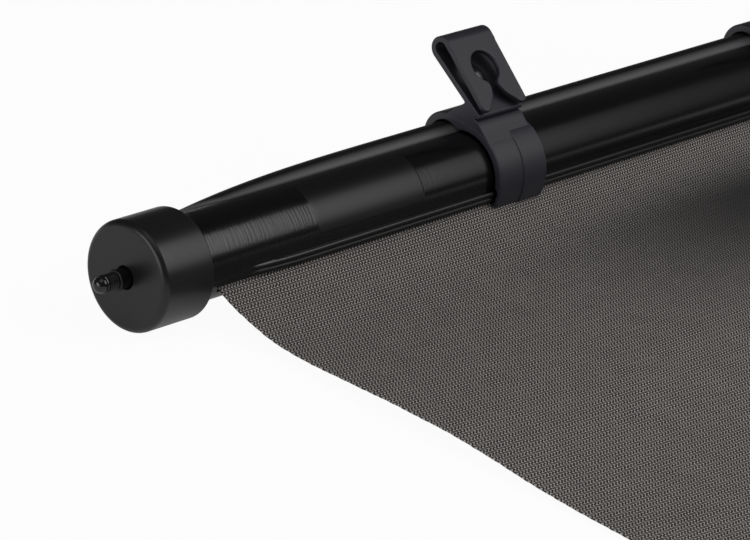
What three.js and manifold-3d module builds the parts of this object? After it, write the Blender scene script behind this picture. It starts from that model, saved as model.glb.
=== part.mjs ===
// A roller sunshade for a car's side window, lying on a table with its cloth pulled out.
// X runs along the tube, Y away from the cloth, Z up, all in millimetres.
// Every piece is first placed from the tube's axis at the left cap's outer face.
import * as THREE from 'three';
import Module from 'manifold-3d';
import { mergeVertices } from 'three/addons/utils/BufferGeometryUtils.js';

const wasm = await Module();
wasm.setup();

// Clearances
const GAP = 0.3;
const SLIDE_GAP = 0.35;

// Whole blind
const LENGTH = 360;
const CLOTH_DROP = 380;
const FULL_TURN = 2 * Math.PI;
const ROUND_DEGREES = 360;
const INNER_SEGMENTS = 32;
const OVERCUT = 1;

// End caps
const CAP_RADIUS = 13;
const CAP_LENGTH = 15.2;
const CAP_FILLET = 1.7;
const CAP_RIM_CHAMFER = 0.4;
const CAP_WALL = 2.5;
const CAP_SEGMENTS = 48;

// Housing tube
const TUBE_RADIUS = 10.4;
const TUBE_WALL = 1.2;
const TUBE_SEGMENTS = 54;
const SLOT_ANGLE = 204;
const SLOT_WIDTH = 2;
const RAIL_ANGLE = 44;
const RAIL_RADIUS = 4.5;
const RAIL_HEIGHT = 3.45;
const RAIL_TAPER = 75;
const RAIL_START = 2;
const LIP_ANGLES = [186.6, 195.2];
const LIP_RADIUS = 0.75;
const LIP_RISE = 0.25;
const LIP_TAPER = 22;
const LIP_START = 12;

// Hanger clips
const CLIP_PLACE = 112.4;
const CLIP_WIDTH = 16.6;
const CLIP_WALL = 2.1;
const CLIP_STEP = 0.3;
const CLIP_JAW_FRONT = 201;
const CLIP_JAW_REAR = 348;
const HOOK_WIDTH = 15.9;
const HOOK_WALL = 1.45;
const FOLD_RADIUS = 3.1;
const FOLD_REACH = 11.7;
const FOLD_HEIGHT = 28.3;
const FRONT_SLOPE = 42;
const FRONT_LENGTH = 19.2;
const ROOT_REACH = 2;
const ROOT_HEIGHT = 17.8;
const KEYHOLE_RADIUS = 4.2;
const KEYHOLE_DROP = 8;
const NECK_HALF = 1.4;
const MOUTH_HALF = 4.2;
const LOBE_RADIUS = 1.6;
const DOME_RADIUS = 3.4;
const DOME_HEIGHT = 0.9;
const DOME_SINK = 0.6;
const PLATE_DROP = 5.2;
const PLATE_TOE = 0.9;
const GROOVE_REACH = 1.6;
const GROOVE_FLOOR = 1.2;
const SHOULDER_REACH = 1.8;
const SHOULDER_TOP = 1.8;
const SHOULDER_FOOT = 3.2;
const HEEL_REACH = 6;
const HEEL_SLANT = 0.8;
const HEEL_DROP = 4.6;
const BACK_REACH = 1.8;
const BACK_DROP = 1.6;
const ROOT_SINK = 2;
const CHIN_ANGLE = 70;
const NECK_BLEND = 0.4;
const LOBE_FLARE = 1.2;

// Release button, from its tip inwards
const BUTTON_REACH = 9;
const BUTTON_TRAVEL = 3;
const TIP_LENGTH = 2.9;
const TIP_RADIUS = 1.95;
const THREAD_LENGTH = 3;
const THREAD_RADIUS = 2.05;
const THREAD_PITCH = 0.75;
const THREAD_DEPTH = 0.3;
const SHANK_RADIUS = 2.3;
const FLANGE_RADIUS = 4.2;
const FLANGE_LENGTH = 1.2;
const LUG_WIDTH = 1.4;
const LUG_REACH = 1.1;
const GUIDE_WALL = 1.6;
const GUIDE_DEPTH = 8.5;
const BUTTON_SPRING_WIRE = 0.6;
const BUTTON_SPRING_TURNS = 3.5;
const STEM_CHAMFER = 0.3;
const TIP_SKIRT = 0.4;
const TIP_FLARE = 0.15;

// Brake and its bearing
const CONE_RADIUS = 4.8;
const CONE_TAPER = 1.1;
const CONE_LENGTH = 2.4;
const BEARING_DISC = 1.4;
const BEARING_RIM = 1.1;
const BEARING_DEPTH = 5;

// Roller
const ROLLER_RADIUS = 5.5;
const ROLLER_WALL = 0.6;
const PLUG_RADIUS = 7.4;
const PLUG_FLANGE = 4.5;
const PLUG_FLOOR = 1;
const PLUG_SPIGOT = 12;
const POCKET_RADIUS = 5.4;
const WOUND_THICKNESS = 0.9;
const ARBOR_RADIUS = 1.5;
const ARBOR_INSET = 2;
const SPRING_RADIUS = 3.2;
const SPRING_WIRE = 0.8;
const SPRING_TURNS = 16;
const SPRING_LENGTH = 80;
const COLLAR_LENGTH = 4;
const BOSS_RADIUS = 4.4;
const BOSS_LENGTH = 5.5;

// Cloth
const CLOTH_THICKNESS = 0.4;
const CLOTH_INSET = 5.6;
const CLOTH_WAVE_DROP = 6;
const CLOTH_LIFT = 0.1;
const CLOTH_LANDING = 150;
const CLOTH_RISE = 60;
const CLOTH_RAMP = 18;
const HEM_LEAD = 4;
const WOUND_INSET = 4;

// The cloth's soft wave: its reach as a share of the landing and its drop as a share of the wave.
const CLOTH_WAVE = [[0.023, 0.283], [0.067, 0.617], [0.133, 0.933], [0.22, 1], [0.38, 0.933], [0.5, 0.95]];

// Pull bar
const BAR_WIDTH = 14;
const BAR_HEIGHT = 7;
const BAR_CORNER = 2.4;
const BAR_OVERHANG = 2.5;
const HEM_ROD_RADIUS = 1.2;
const BAR_CAP_LENGTH = 6;
const BAR_CAP_WALL = 1.3;
const TAB_WIDTH = 42;
const TAB_REACH = 15;
const TAB_THICKNESS = 2.6;
const TAB_RIDGES = 4;
const TAB_RIDGE_SIZE = 1;

// Sizes that follow from the ones above
const tubeBore = TUBE_RADIUS - TUBE_WALL;
const tubeStart = CAP_WALL + GAP;
const tubeEnd = LENGTH - tubeStart;
const sleeveRadius = TUBE_RADIUS + GAP;
const railDistance = TUBE_RADIUS + RAIL_HEIGHT - RAIL_RADIUS;
const shankHole = SHANK_RADIUS + GAP;
const guideBore = FLANGE_RADIUS + GAP;
const guideEnd = CAP_WALL + GUIDE_DEPTH;
const flangeStart = CAP_WALL + GAP;
const flangeEnd = flangeStart + FLANGE_LENGTH;
const bearingStart = guideEnd;
const bearingFace = bearingStart + BEARING_DISC;
const ringStart = bearingFace + GAP;
const ringEnd = ringStart + CONE_LENGTH;
const pocketDepth = BUTTON_TRAVEL + 2 * GAP;
const leftPlugEnd = ringEnd + Math.max(PLUG_FLANGE, pocketDepth + PLUG_FLOOR);
const rightPlugStart = LENGTH - CAP_WALL - BOSS_LENGTH - COLLAR_LENGTH - PLUG_FLANGE;
const rightPlugEnd = rightPlugStart + PLUG_FLANGE;
const rollerBore = ROLLER_RADIUS - ROLLER_WALL;
const spigotRadius = rollerBore - GAP;
const woundInner = ROLLER_RADIUS + GAP;
const woundOuter = woundInner + WOUND_THICKNESS;
const clothStart = CAP_LENGTH + CLOTH_INSET;
const clothEnd = LENGTH - clothStart;
const floor = -CAP_RADIUS;
const rodHole = HEM_ROD_RADIUS + 2 * GAP + CLOTH_THICKNESS + GAP;
const barCentreY = -CLOTH_DROP;
const barCentreZ = floor + BAR_HEIGHT / 2;
const barStart = clothStart - BAR_OVERHANG;
const barEnd = LENGTH - barStart;

// Materials
function plastic(color, roughness) {
  return new THREE.MeshStandardMaterial({ color, roughness, metalness: 0 });
}

function metal(color, roughness) {
  return new THREE.MeshStandardMaterial({ color, roughness, metalness: 1 });
}

const satinBlack = plastic(0x1b1b1d, 0.5);
const glossBlack = plastic(0x0c0c0d, 0.15);
const clipGrey = plastic(0x26262b, 0.45);
const innerBlack = plastic(0x202022, 0.6);
const steel = metal(0xa8a8ac, 0.35);
const aluminium = metal(0xc2c4c8, 0.4);
const meshCloth = plastic(0x3a3734, 0.9);

// Solid helpers
function toSolid(geometry) {
  const bare = geometry.clone();
  bare.deleteAttribute('normal');
  bare.deleteAttribute('uv');
  const merged = mergeVertices(bare, 1e-4);
  const vertProperties = new Float32Array(merged.attributes.position.array);
  const triVerts = new Uint32Array(merged.index.array);
  return new wasm.Manifold(new wasm.Mesh({ numProp: 3, vertProperties, triVerts }));
}

function toGeometry(solid) {
  const result = solid.getMesh();
  const geometry = new THREE.BufferGeometry();
  const position = new Float32Array(result.vertProperties);
  geometry.setAttribute('position', new THREE.BufferAttribute(position, 3));
  geometry.setIndex(new THREE.BufferAttribute(new Uint32Array(result.triVerts), 1));
  geometry.computeVertexNormals();
  return geometry;
}

function joined(first, ...others) {
  return others.reduce((sum, next) => sum.add(next), first);
}

function carved(first, ...others) {
  return others.reduce((rest, next) => rest.subtract(next), first);
}

function polar(radius, degrees) {
  const angle = THREE.MathUtils.degToRad(degrees);
  return new THREE.Vector2(radius * Math.cos(angle), radius * Math.sin(angle));
}

// A body turned about the tube's axis: each point is a place along X and a radius.
function turned(points, segments = INNER_SEGMENTS) {
  const profile = points.map(([x, radius]) => new THREE.Vector2(radius, x));
  const geometry = new THREE.LatheGeometry(profile, segments);
  geometry.rotateZ(-Math.PI / 2);
  return toSolid(geometry);
}

// A ring turned about the tube's axis.
function ring(start, end, inner, outer, segments = INNER_SEGMENTS) {
  const profile = [[start, inner], [start, outer], [end, outer], [end, inner], [start, inner]];
  return turned(profile, segments);
}

// A plain rod along X about the point (y, z).
function rod(start, end, radius, y = 0, z = 0, segments = INNER_SEGMENTS) {
  const geometry = new THREE.CylinderGeometry(radius, radius, end - start, segments);
  geometry.rotateZ(-Math.PI / 2);
  geometry.translate((start + end) / 2, y, z);
  return toSolid(geometry);
}

// An outline in the Y-Z plane carried along X from start to end.
function prism(outline, start, end, curveSegments = 12) {
  const shape = outline instanceof THREE.Shape ? outline : new THREE.Shape(outline);
  const options = { depth: end - start, bevelEnabled: false, curveSegments };
  const geometry = new THREE.ExtrudeGeometry(shape, options);
  const turn = new THREE.Matrix4().set(0, 0, 1, start, 1, 0, 0, 0, 0, 1, 0, 0, 0, 0, 0, 1);
  geometry.applyMatrix4(turn);
  return toSolid(geometry);
}

// A box given by its lowest and highest corners.
function block(low, high) {
  const size = high.map((value, i) => value - low[i]);
  const geometry = new THREE.BoxGeometry(...size);
  geometry.translate(...low.map((value, i) => value + size[i] / 2));
  return toSolid(geometry);
}

function mirroredAlongX(solid) {
  const geometry = toGeometry(solid);
  geometry.scale(-1, 1, 1);
  geometry.translate(LENGTH, 0, 0);
  const index = geometry.index.array;
  for (let i = 0; i < index.length; i += 3) {
    [index[i], index[i + 1]] = [index[i + 1], index[i]];
  }
  return toSolid(geometry);
}

// Points on an arc from one angle to another, in degrees, about a centre.
function arc(centre, radius, from, to, steps) {
  const points = [];
  for (let i = 0; i <= steps; i += 1) {
    points.push(polar(radius, from + ((to - from) * i) / steps).add(centre));
  }
  return points;
}

// A round bead along X whose distance from the axis is a function of its place, so that it
// sinks into the tube's wall near the caps.
function bead(angle, radius, distanceAt, start, end, taper, sides) {
  const places = [];
  const steps = 7;
  for (let i = 0; i <= steps; i += 1) {
    places.push(start + (taper * i) / steps);
  }
  for (let i = steps; i >= 0; i -= 1) {
    places.push(end - (taper * i) / steps);
  }
  const vertices = [];
  for (const x of places) {
    const centre = polar(distanceAt(Math.min(x - start, end - x) / taper), angle);
    for (let side = 0; side < sides; side += 1) {
      const point = polar(radius, (ROUND_DEGREES * side) / sides).add(centre);
      vertices.push(x, point.x, point.y);
    }
  }
  const faces = [];
  const last = places.length - 1;
  for (let row = 0; row < last; row += 1) {
    for (let side = 0; side < sides; side += 1) {
      const next = (side + 1) % sides;
      const a = row * sides + side;
      const b = row * sides + next;
      const c = a + sides;
      const d = b + sides;
      faces.push(a, b, d, a, d, c);
    }
  }
  for (let side = 1; side < sides - 1; side += 1) {
    faces.push(0, side + 1, side);
    faces.push(last * sides, last * sides + side, last * sides + side + 1);
  }
  const geometry = new THREE.BufferGeometry();
  geometry.setAttribute('position', new THREE.Float32BufferAttribute(vertices, 3));
  geometry.setIndex(faces);
  return toSolid(geometry);
}

// A wire wound about the tube's axis.
function coil(start, end, radius, wire, turns, stepsPerTurn, sides) {
  class Helix extends THREE.Curve {
    getPoint(t, target = new THREE.Vector3()) {
      const angle = FULL_TURN * turns * t;
      const x = start + wire / 2 + (end - start - wire) * t;
      return target.set(x, radius * Math.cos(angle), radius * Math.sin(angle));
    }
  }
  const lastSide = ROUND_DEGREES - ROUND_DEGREES / sides;
  const section = new THREE.Shape(arc(new THREE.Vector2(), wire / 2, 0, lastSide, sides - 1));
  const steps = Math.round(turns * stepsPerTurn);
  const options = { steps, extrudePath: new Helix(), bevelEnabled: false };
  return toSolid(new THREE.ExtrudeGeometry(section, options));
}

// Housing
function railDistanceAt(share) {
  const rise = 1 - (1 - Math.min(share, 1)) ** 3;
  return railDistance - RAIL_HEIGHT * (1 - rise);
}

function lipDistanceAt(share) {
  const rise = 1 - (1 - Math.min(share, 1)) ** 2;
  return TUBE_RADIUS + LIP_RISE - (LIP_RADIUS + LIP_RISE) * (1 - rise);
}

function housingTube() {
  const railStart = CAP_LENGTH + RAIL_START;
  const lipStart = CAP_LENGTH + LIP_START;
  const rail = bead(RAIL_ANGLE, RAIL_RADIUS, railDistanceAt, railStart, LENGTH - railStart, RAIL_TAPER, 28);
  const lips = LIP_ANGLES.map((angle) => (
    bead(angle, LIP_RADIUS, lipDistanceAt, lipStart, LENGTH - lipStart, LIP_TAPER, 10)
  ));
  const skin = joined(rod(tubeStart, tubeEnd, TUBE_RADIUS, 0, 0, TUBE_SEGMENTS), rail, ...lips);
  const bore = rod(tubeStart - OVERCUT, tubeEnd + OVERCUT, tubeBore, 0, 0, TUBE_SEGMENTS);
  const out = polar(1, SLOT_ANGLE);
  const across = new THREE.Vector2(-out.y, out.x).multiplyScalar(SLOT_WIDTH / 2);
  const near = out.clone().multiplyScalar(tubeBore - TUBE_WALL);
  const far = out.clone().multiplyScalar(TUBE_RADIUS + TUBE_WALL);
  const slotOutline = [
    near.clone().sub(across),
    far.clone().sub(across),
    far.clone().add(across),
    near.clone().add(across),
  ];
  const slot = prism(slotOutline, clothStart - SLIDE_GAP, clothEnd + SLIDE_GAP);
  return carved(skin, bore, slot);
}

// A cup over the tube's end, with a rounded rim on its outer face.
function capShell() {
  const fillet = arc(new THREE.Vector2(), CAP_FILLET, 180, 90, 4);
  const corner = CAP_RADIUS - CAP_FILLET;
  const rounded = fillet.map((point) => [CAP_FILLET + point.x, corner + point.y]);
  return turned([
    [0, 0],
    ...rounded,
    [CAP_LENGTH - CAP_RIM_CHAMFER, CAP_RADIUS],
    [CAP_LENGTH, CAP_RADIUS - CAP_RIM_CHAMFER],
    [CAP_LENGTH, sleeveRadius],
    [CAP_WALL, sleeveRadius],
    [CAP_WALL, 0],
  ], CAP_SEGMENTS);
}

function lugs(start, end, width, reach, bore) {
  const half = width / 2;
  const inner = bore - OVERCUT;
  const up = block([start, -half, inner], [end, half, bore + reach]);
  const down = block([start, -half, -bore - reach], [end, half, -inner]);
  return [up, down];
}

function leftCap() {
  const guide = ring(CAP_WALL / 2, guideEnd, guideBore, guideBore + GUIDE_WALL);
  const grooves = lugs(CAP_WALL, guideEnd + OVERCUT, LUG_WIDTH + 2 * GAP, LUG_REACH, guideBore);
  const hole = rod(-OVERCUT, CAP_WALL + OVERCUT, shankHole);
  return carved(joined(capShell(), guide), hole, ...grooves);
}

function rightCap() {
  const boss = ring(CAP_WALL / 2, CAP_WALL + BOSS_LENGTH, ARBOR_RADIUS + GAP, BOSS_RADIUS);
  return mirroredAlongX(joined(capShell(), boss));
}

// Release button
const shankStart = -(BUTTON_REACH - TIP_LENGTH - THREAD_LENGTH);
const threadStart = shankStart - THREAD_LENGTH;

function buttonStem() {
  const thread = [];
  const count = Math.floor(THREAD_LENGTH / THREAD_PITCH);
  for (let i = 0; i < count; i += 1) {
    const x = threadStart + i * THREAD_PITCH;
    thread.push([x, THREAD_RADIUS - THREAD_DEPTH]);
    thread.push([x + THREAD_PITCH / 2, THREAD_RADIUS]);
  }
  const stem = turned([
    [threadStart, 0],
    ...thread,
    [shankStart, THREAD_RADIUS - THREAD_DEPTH],
    [shankStart, SHANK_RADIUS - STEM_CHAMFER],
    [shankStart + STEM_CHAMFER, SHANK_RADIUS],
    [flangeStart, SHANK_RADIUS],
    [flangeStart, FLANGE_RADIUS],
    [flangeEnd, FLANGE_RADIUS],
    [flangeEnd, SHANK_RADIUS],
    [ringStart, SHANK_RADIUS],
    [ringStart, 0],
  ], 24);
  return joined(stem, ...lugs(flangeStart, flangeEnd, LUG_WIDTH, LUG_REACH - GAP, FLANGE_RADIUS));
}

function buttonTip() {
  const tipStart = threadStart - TIP_LENGTH;
  const dome = arc(new THREE.Vector2(), TIP_RADIUS, 180, 90, 6);
  return turned([
    [tipStart, 0],
    ...dome.slice(1).map((point) => [tipStart + TIP_RADIUS + point.x, point.y]),
    [threadStart - TIP_SKIRT - TIP_FLARE, TIP_RADIUS],
    [threadStart - TIP_SKIRT, TIP_RADIUS + TIP_FLARE],
    [threadStart, TIP_RADIUS + TIP_FLARE],
    [threadStart, 0],
  ], 24);
}

// A steel cone on the button's stem, which the button's spring draws into its seat in the
// roller's end and which the button pushes clear of it.
function brakeCone() {
  return turned([
    [ringStart, 0],
    [ringStart, CONE_RADIUS - CONE_TAPER],
    [ringEnd, CONE_RADIUS],
    [ringEnd, 0],
  ]);
}

function brakeRing() {
  return turned([
    [ringStart, CONE_RADIUS - CONE_TAPER + GAP],
    [ringStart, PLUG_RADIUS],
    [ringEnd, PLUG_RADIUS],
    [ringEnd, CONE_RADIUS + GAP],
    [ringStart, CONE_RADIUS - CONE_TAPER + GAP],
  ]);
}

function bearingCup() {
  const outer = tubeBore - GAP;
  const inner = outer - BEARING_RIM;
  return turned([
    [bearingStart, shankHole],
    [bearingStart, outer],
    [bearingFace + BEARING_DEPTH, outer],
    [bearingFace + BEARING_DEPTH, inner],
    [bearingFace, inner],
    [bearingFace, shankHole],
    [bearingStart, shankHole],
  ]);
}

// Roller
function leftPlug() {
  return turned([
    [ringEnd, POCKET_RADIUS],
    [ringEnd, PLUG_RADIUS],
    [leftPlugEnd, PLUG_RADIUS],
    [leftPlugEnd, spigotRadius],
    [leftPlugEnd + PLUG_SPIGOT, spigotRadius],
    [leftPlugEnd + PLUG_SPIGOT, 0],
    [ringEnd + pocketDepth, 0],
    [ringEnd + pocketDepth, POCKET_RADIUS],
    [ringEnd, POCKET_RADIUS],
  ]);
}

function rightPlug() {
  const bore = ARBOR_RADIUS + GAP;
  return turned([
    [rightPlugStart - PLUG_SPIGOT, bore],
    [rightPlugStart - PLUG_SPIGOT, spigotRadius],
    [rightPlugStart, spigotRadius],
    [rightPlugStart, PLUG_RADIUS],
    [rightPlugEnd, PLUG_RADIUS],
    [rightPlugEnd, bore],
    [rightPlugStart - PLUG_SPIGOT, bore],
  ]);
}

const rollerStart = leftPlugEnd + GAP;
const rollerEnd = rightPlugStart - GAP;
const arborEnd = LENGTH - CAP_WALL - GAP;
const springEnd = rightPlugStart - PLUG_SPIGOT - COLLAR_LENGTH - 2 * GAP;
const springStart = springEnd - SPRING_LENGTH;
const arborStart = springStart + ARBOR_INSET;
const anchorEnd = springStart - GAP;

// Cloth: it leaves the underside of the roll, passes the slot, sags to the table in one soft
// wave and rises into the pull bar, where its hem goes round the rod.
function clothPath() {
  const inside = polar(tubeBore - TUBE_WALL / 2, SLOT_ANGLE);
  const outside = polar(TUBE_RADIUS + TUBE_WALL / 2, SLOT_ANGLE);
  const clearOfRoll = woundOuter + GAP + CLOTH_THICKNESS / 2;
  const bend = THREE.MathUtils.radToDeg(Math.acos(clearOfRoll / inside.length()));
  const rollPoint = polar(clearOfRoll, SLOT_ANGLE + bend);
  const table = floor + CLOTH_THICKNESS / 2 + CLOTH_LIFT;
  const hemEntry = new THREE.Vector2(barCentreY + BAR_WIDTH / 2 + HEM_LEAD, barCentreZ);
  const wave = CLOTH_WAVE.map(([reach, drop]) => (
    new THREE.Vector2(outside.x - reach * CLOTH_LANDING, outside.y - drop * CLOTH_WAVE_DROP)
  ));
  const low = outside.y - CLOTH_WAVE_DROP;
  const hang = new THREE.SplineCurve([
    outside,
    ...wave,
    new THREE.Vector2(outside.x - CLOTH_LANDING * 2 / 3, (low + 2 * table) / 3),
    new THREE.Vector2(outside.x - CLOTH_LANDING * 5 / 6, table + 3 * CLOTH_LIFT),
    new THREE.Vector2(outside.x - CLOTH_LANDING, table),
    new THREE.Vector2(hemEntry.x + CLOTH_RISE, table),
    new THREE.Vector2(hemEntry.x + CLOTH_RAMP, table + 2 * CLOTH_LIFT),
    hemEntry,
  ]);
  const hemEdge = new THREE.Vector2(barCentreY + HEM_ROD_RADIUS + GAP + CLOTH_THICKNESS / 2, barCentreZ);
  return [rollPoint, inside, ...hang.getPoints(44), hemEdge];
}

function thickened(path, thickness) {
  const left = [];
  const right = [];
  path.forEach((point, i) => {
    const before = path[Math.max(i - 1, 0)];
    const after = path[Math.min(i + 1, path.length - 1)];
    const along = after.clone().sub(before).normalize();
    const across = new THREE.Vector2(-along.y, along.x).multiplyScalar(thickness / 2);
    left.push(point.clone().add(across));
    right.push(point.clone().sub(across));
  });
  return [...left, ...right.reverse()];
}

function shadeCloth() {
  const sheet = prism(thickened(clothPath(), CLOTH_THICKNESS), clothStart, clothEnd);
  const inner = HEM_ROD_RADIUS + GAP;
  const hem = carved(
    rod(clothStart, clothEnd, inner + CLOTH_THICKNESS, barCentreY, barCentreZ, 20),
    rod(clothStart - OVERCUT, clothEnd + OVERCUT, inner, barCentreY, barCentreZ, 20),
  );
  return joined(sheet, hem);
}

// Pull bar
function roundedOutline(width, height, corner) {
  const points = [];
  const quarters = [[1, 1, 0], [-1, 1, 90], [-1, -1, 180], [1, -1, 270]];
  for (const [sideY, sideZ, from] of quarters) {
    const y = barCentreY + sideY * (width / 2 - corner);
    const z = barCentreZ + sideZ * (height / 2 - corner);
    points.push(...arc(new THREE.Vector2(y, z), corner, from, from + 90, 5));
  }
  return points;
}

function pullBar() {
  const body = prism(roundedOutline(BAR_WIDTH, BAR_HEIGHT, BAR_CORNER), barStart, barEnd);
  const channel = rod(barStart - OVERCUT, barEnd + OVERCUT, rodHole, barCentreY, barCentreZ, 24);
  const mouth = CLOTH_THICKNESS / 2 + GAP;
  const slit = block(
    [barStart - OVERCUT, barCentreY, barCentreZ - mouth],
    [barEnd + OVERCUT, barCentreY + BAR_WIDTH, barCentreZ + mouth],
  );
  return carved(body, channel, slit);
}

function barCap() {
  const width = BAR_WIDTH + 2 * (GAP + BAR_CAP_WALL);
  const height = BAR_HEIGHT;
  const start = barStart - GAP - BAR_CAP_WALL;
  const outer = prism(roundedOutline(width, height, BAR_CORNER), start, start + BAR_CAP_WALL);
  const tongue = rod(start + BAR_CAP_WALL / 2, barStart + BAR_CAP_LENGTH - BAR_OVERHANG - GAP * 2,
    HEM_ROD_RADIUS, barCentreY, barCentreZ, 16);
  return joined(outer, tongue);
}

function pullTab() {
  const half = TAB_WIDTH / 2;
  const middle = LENGTH / 2;
  const near = barCentreY - BAR_WIDTH / 2;
  const corner = TAB_REACH / 2.5;
  const shape = new THREE.Shape();
  shape.moveTo(middle - half, near);
  shape.lineTo(middle + half, near);
  shape.lineTo(middle + half, near - TAB_REACH + corner);
  shape.absarc(middle + half - corner, near - TAB_REACH + corner, corner, 0, -Math.PI / 2, true);
  shape.lineTo(middle - half + corner, near - TAB_REACH);
  shape.absarc(middle - half + corner, near - TAB_REACH + corner, corner, -Math.PI / 2, -Math.PI, true);
  shape.lineTo(middle - half, near);
  const options = { depth: TAB_THICKNESS, bevelEnabled: false, curveSegments: 8 };
  const plate = new THREE.ExtrudeGeometry(shape, options);
  plate.translate(0, 0, barCentreZ - TAB_THICKNESS / 2);
  const top = barCentreZ + TAB_THICKNESS / 2;
  const pitch = (TAB_REACH - 2 * TAB_RIDGE_SIZE) / (TAB_RIDGES + 1);
  const ridges = [];
  for (let i = 0; i < TAB_RIDGES; i += 1) {
    const y = near - (i + 1.5) * pitch;
    const low = [middle - half * 0.7, y - TAB_RIDGE_SIZE / 2, top - TAB_RIDGE_SIZE / 2];
    const high = [middle + half * 0.7, y + TAB_RIDGE_SIZE / 2, top + TAB_RIDGE_SIZE / 2];
    ridges.push(block(low, high));
  }
  return joined(toSolid(plate), ...ridges);
}

// Hanger clip: a band that snaps round the tube, and a hook folded from the same strip
function beltOutline(radius, railRadius) {
  const centre = polar(railDistance, RAIL_ANGLE);
  const spread = THREE.MathUtils.radToDeg(Math.acos((radius - railRadius) / railDistance));
  const upper = RAIL_ANGLE + spread;
  const lower = RAIL_ANGLE - spread;
  return [
    ...arc(new THREE.Vector2(), radius, upper, lower + ROUND_DEGREES, 44),
    ...arc(centre, railRadius, lower, upper, 20),
  ];
}

// The band's outline grown by some height, cut open below between its two jaws.
function band(start, end, grow) {
  const outerRadius = TUBE_RADIUS + GAP + CLIP_WALL + grow;
  const outerRail = RAIL_RADIUS + GAP + CLIP_WALL + grow;
  const reach = 4 * TUBE_RADIUS;
  const opening = [new THREE.Vector2(), ...arc(new THREE.Vector2(), reach, CLIP_JAW_FRONT, CLIP_JAW_REAR, 6)];
  const whole = prism(beltOutline(outerRadius, outerRail), start, end);
  return carved(whole, prism(opening, start - OVERCUT, end + OVERCUT));
}

// Directions along and across the hook's front plate, which falls from the fold to its lobes.
const frontDown = polar(1, 180 + FRONT_SLOPE);
const frontOut = polar(1, 90 + FRONT_SLOPE);
const foldCentre = new THREE.Vector2(FOLD_REACH, FOLD_HEIGHT);

function hookOutline() {
  const root = new THREE.Vector2(ROOT_REACH, ROOT_HEIGHT);
  const toFold = foldCentre.clone().sub(root);
  const lean = THREE.MathUtils.radToDeg(Math.asin(FOLD_RADIUS / toFold.length()));
  const backSlope = THREE.MathUtils.radToDeg(Math.atan2(toFold.y, toFold.x)) - lean;
  const backUp = polar(1, backSlope);
  const backIn = polar(1, backSlope + 90);
  const frontAngle = 90 + FRONT_SLOPE;
  const backAngle = backSlope - 90;
  const frontTop = foldCentre.clone().addScaledVector(frontOut, FOLD_RADIUS);
  const frontEnd = frontTop.clone().addScaledVector(frontDown, FRONT_LENGTH);
  const innerEnd = frontEnd.clone().addScaledVector(frontOut, -HOOK_WALL);
  const bulb = FOLD_RADIUS - HOOK_WALL;
  const toe = root.clone().addScaledVector(backUp, -PLATE_DROP).addScaledVector(backIn, HOOK_WALL);
  return [
    frontEnd,
    innerEnd,
    ...arc(foldCentre, bulb, frontAngle, backAngle, 8),
    toe,
    new THREE.Vector2(toe.x, toe.y - PLATE_TOE),
    new THREE.Vector2(toe.x + GROOVE_REACH, toe.y - GROOVE_FLOOR),
    new THREE.Vector2(toe.x, toe.y - SHOULDER_TOP),
    new THREE.Vector2(toe.x - SHOULDER_REACH, toe.y - SHOULDER_FOOT),
    new THREE.Vector2(toe.x - SHOULDER_REACH, TUBE_RADIUS - ROOT_SINK),
    new THREE.Vector2(root.x + HEEL_REACH, TUBE_RADIUS - ROOT_SINK),
    new THREE.Vector2(root.x + HEEL_REACH - HEEL_SLANT, root.y - HEEL_DROP),
    new THREE.Vector2(root.x + BACK_REACH, root.y - BACK_DROP),
    root,
    ...arc(foldCentre, FOLD_RADIUS, backAngle, frontAngle, 14),
  ];
}

// The keyhole in the front plate: a round hole, a narrow neck and a flared mouth. It is drawn
// with x across the plate and y down it, then laid in the plate.
function keyholeCutter(middle) {
  const shape = new THREE.Shape();
  const neckDrop = KEYHOLE_DROP + KEYHOLE_RADIUS + OVERCUT;
  const end = FRONT_LENGTH + OVERCUT;
  const open = THREE.MathUtils.degToRad(CHIN_ANGLE);
  const chinX = KEYHOLE_RADIUS * Math.cos(open);
  const chinY = KEYHOLE_DROP + KEYHOLE_RADIUS * Math.sin(open);
  const blendY = chinY + NECK_BLEND;
  const lobeY = FRONT_LENGTH - LOBE_RADIUS;
  const waistX = NECK_HALF * LOBE_FLARE;
  const waistY = lobeY - LOBE_RADIUS * LOBE_FLARE;
  const flareX = MOUTH_HALF + LOBE_FLARE;
  const endX = MOUTH_HALF + 2 * LOBE_FLARE;
  shape.moveTo(chinX, chinY);
  shape.quadraticCurveTo(NECK_HALF, blendY, NECK_HALF, neckDrop);
  shape.quadraticCurveTo(waistX, waistY, MOUTH_HALF, lobeY);
  shape.quadraticCurveTo(flareX, FRONT_LENGTH, endX, end);
  shape.lineTo(-endX, end);
  shape.quadraticCurveTo(-flareX, FRONT_LENGTH, -MOUTH_HALF, lobeY);
  shape.quadraticCurveTo(-waistX, waistY, -NECK_HALF, neckDrop);
  shape.quadraticCurveTo(-NECK_HALF, blendY, -chinX, chinY);
  shape.absarc(0, KEYHOLE_DROP, KEYHOLE_RADIUS, Math.PI - open, open, false);
  const depth = HOOK_WALL + GAP;
  const options = { depth, bevelEnabled: false, curveSegments: 10 };
  const geometry = new THREE.ExtrudeGeometry(shape, options);
  const top = foldCentre.clone().addScaledVector(frontOut, FOLD_RADIUS - HOOK_WALL - GAP / 2);
  const place = new THREE.Matrix4().makeBasis(
    new THREE.Vector3(-1, 0, 0),
    new THREE.Vector3(0, frontDown.x, frontDown.y),
    new THREE.Vector3(0, frontOut.x, frontOut.y),
  );
  place.setPosition(middle, top.x, top.y);
  geometry.applyMatrix4(place);
  return toSolid(geometry);
}

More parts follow.
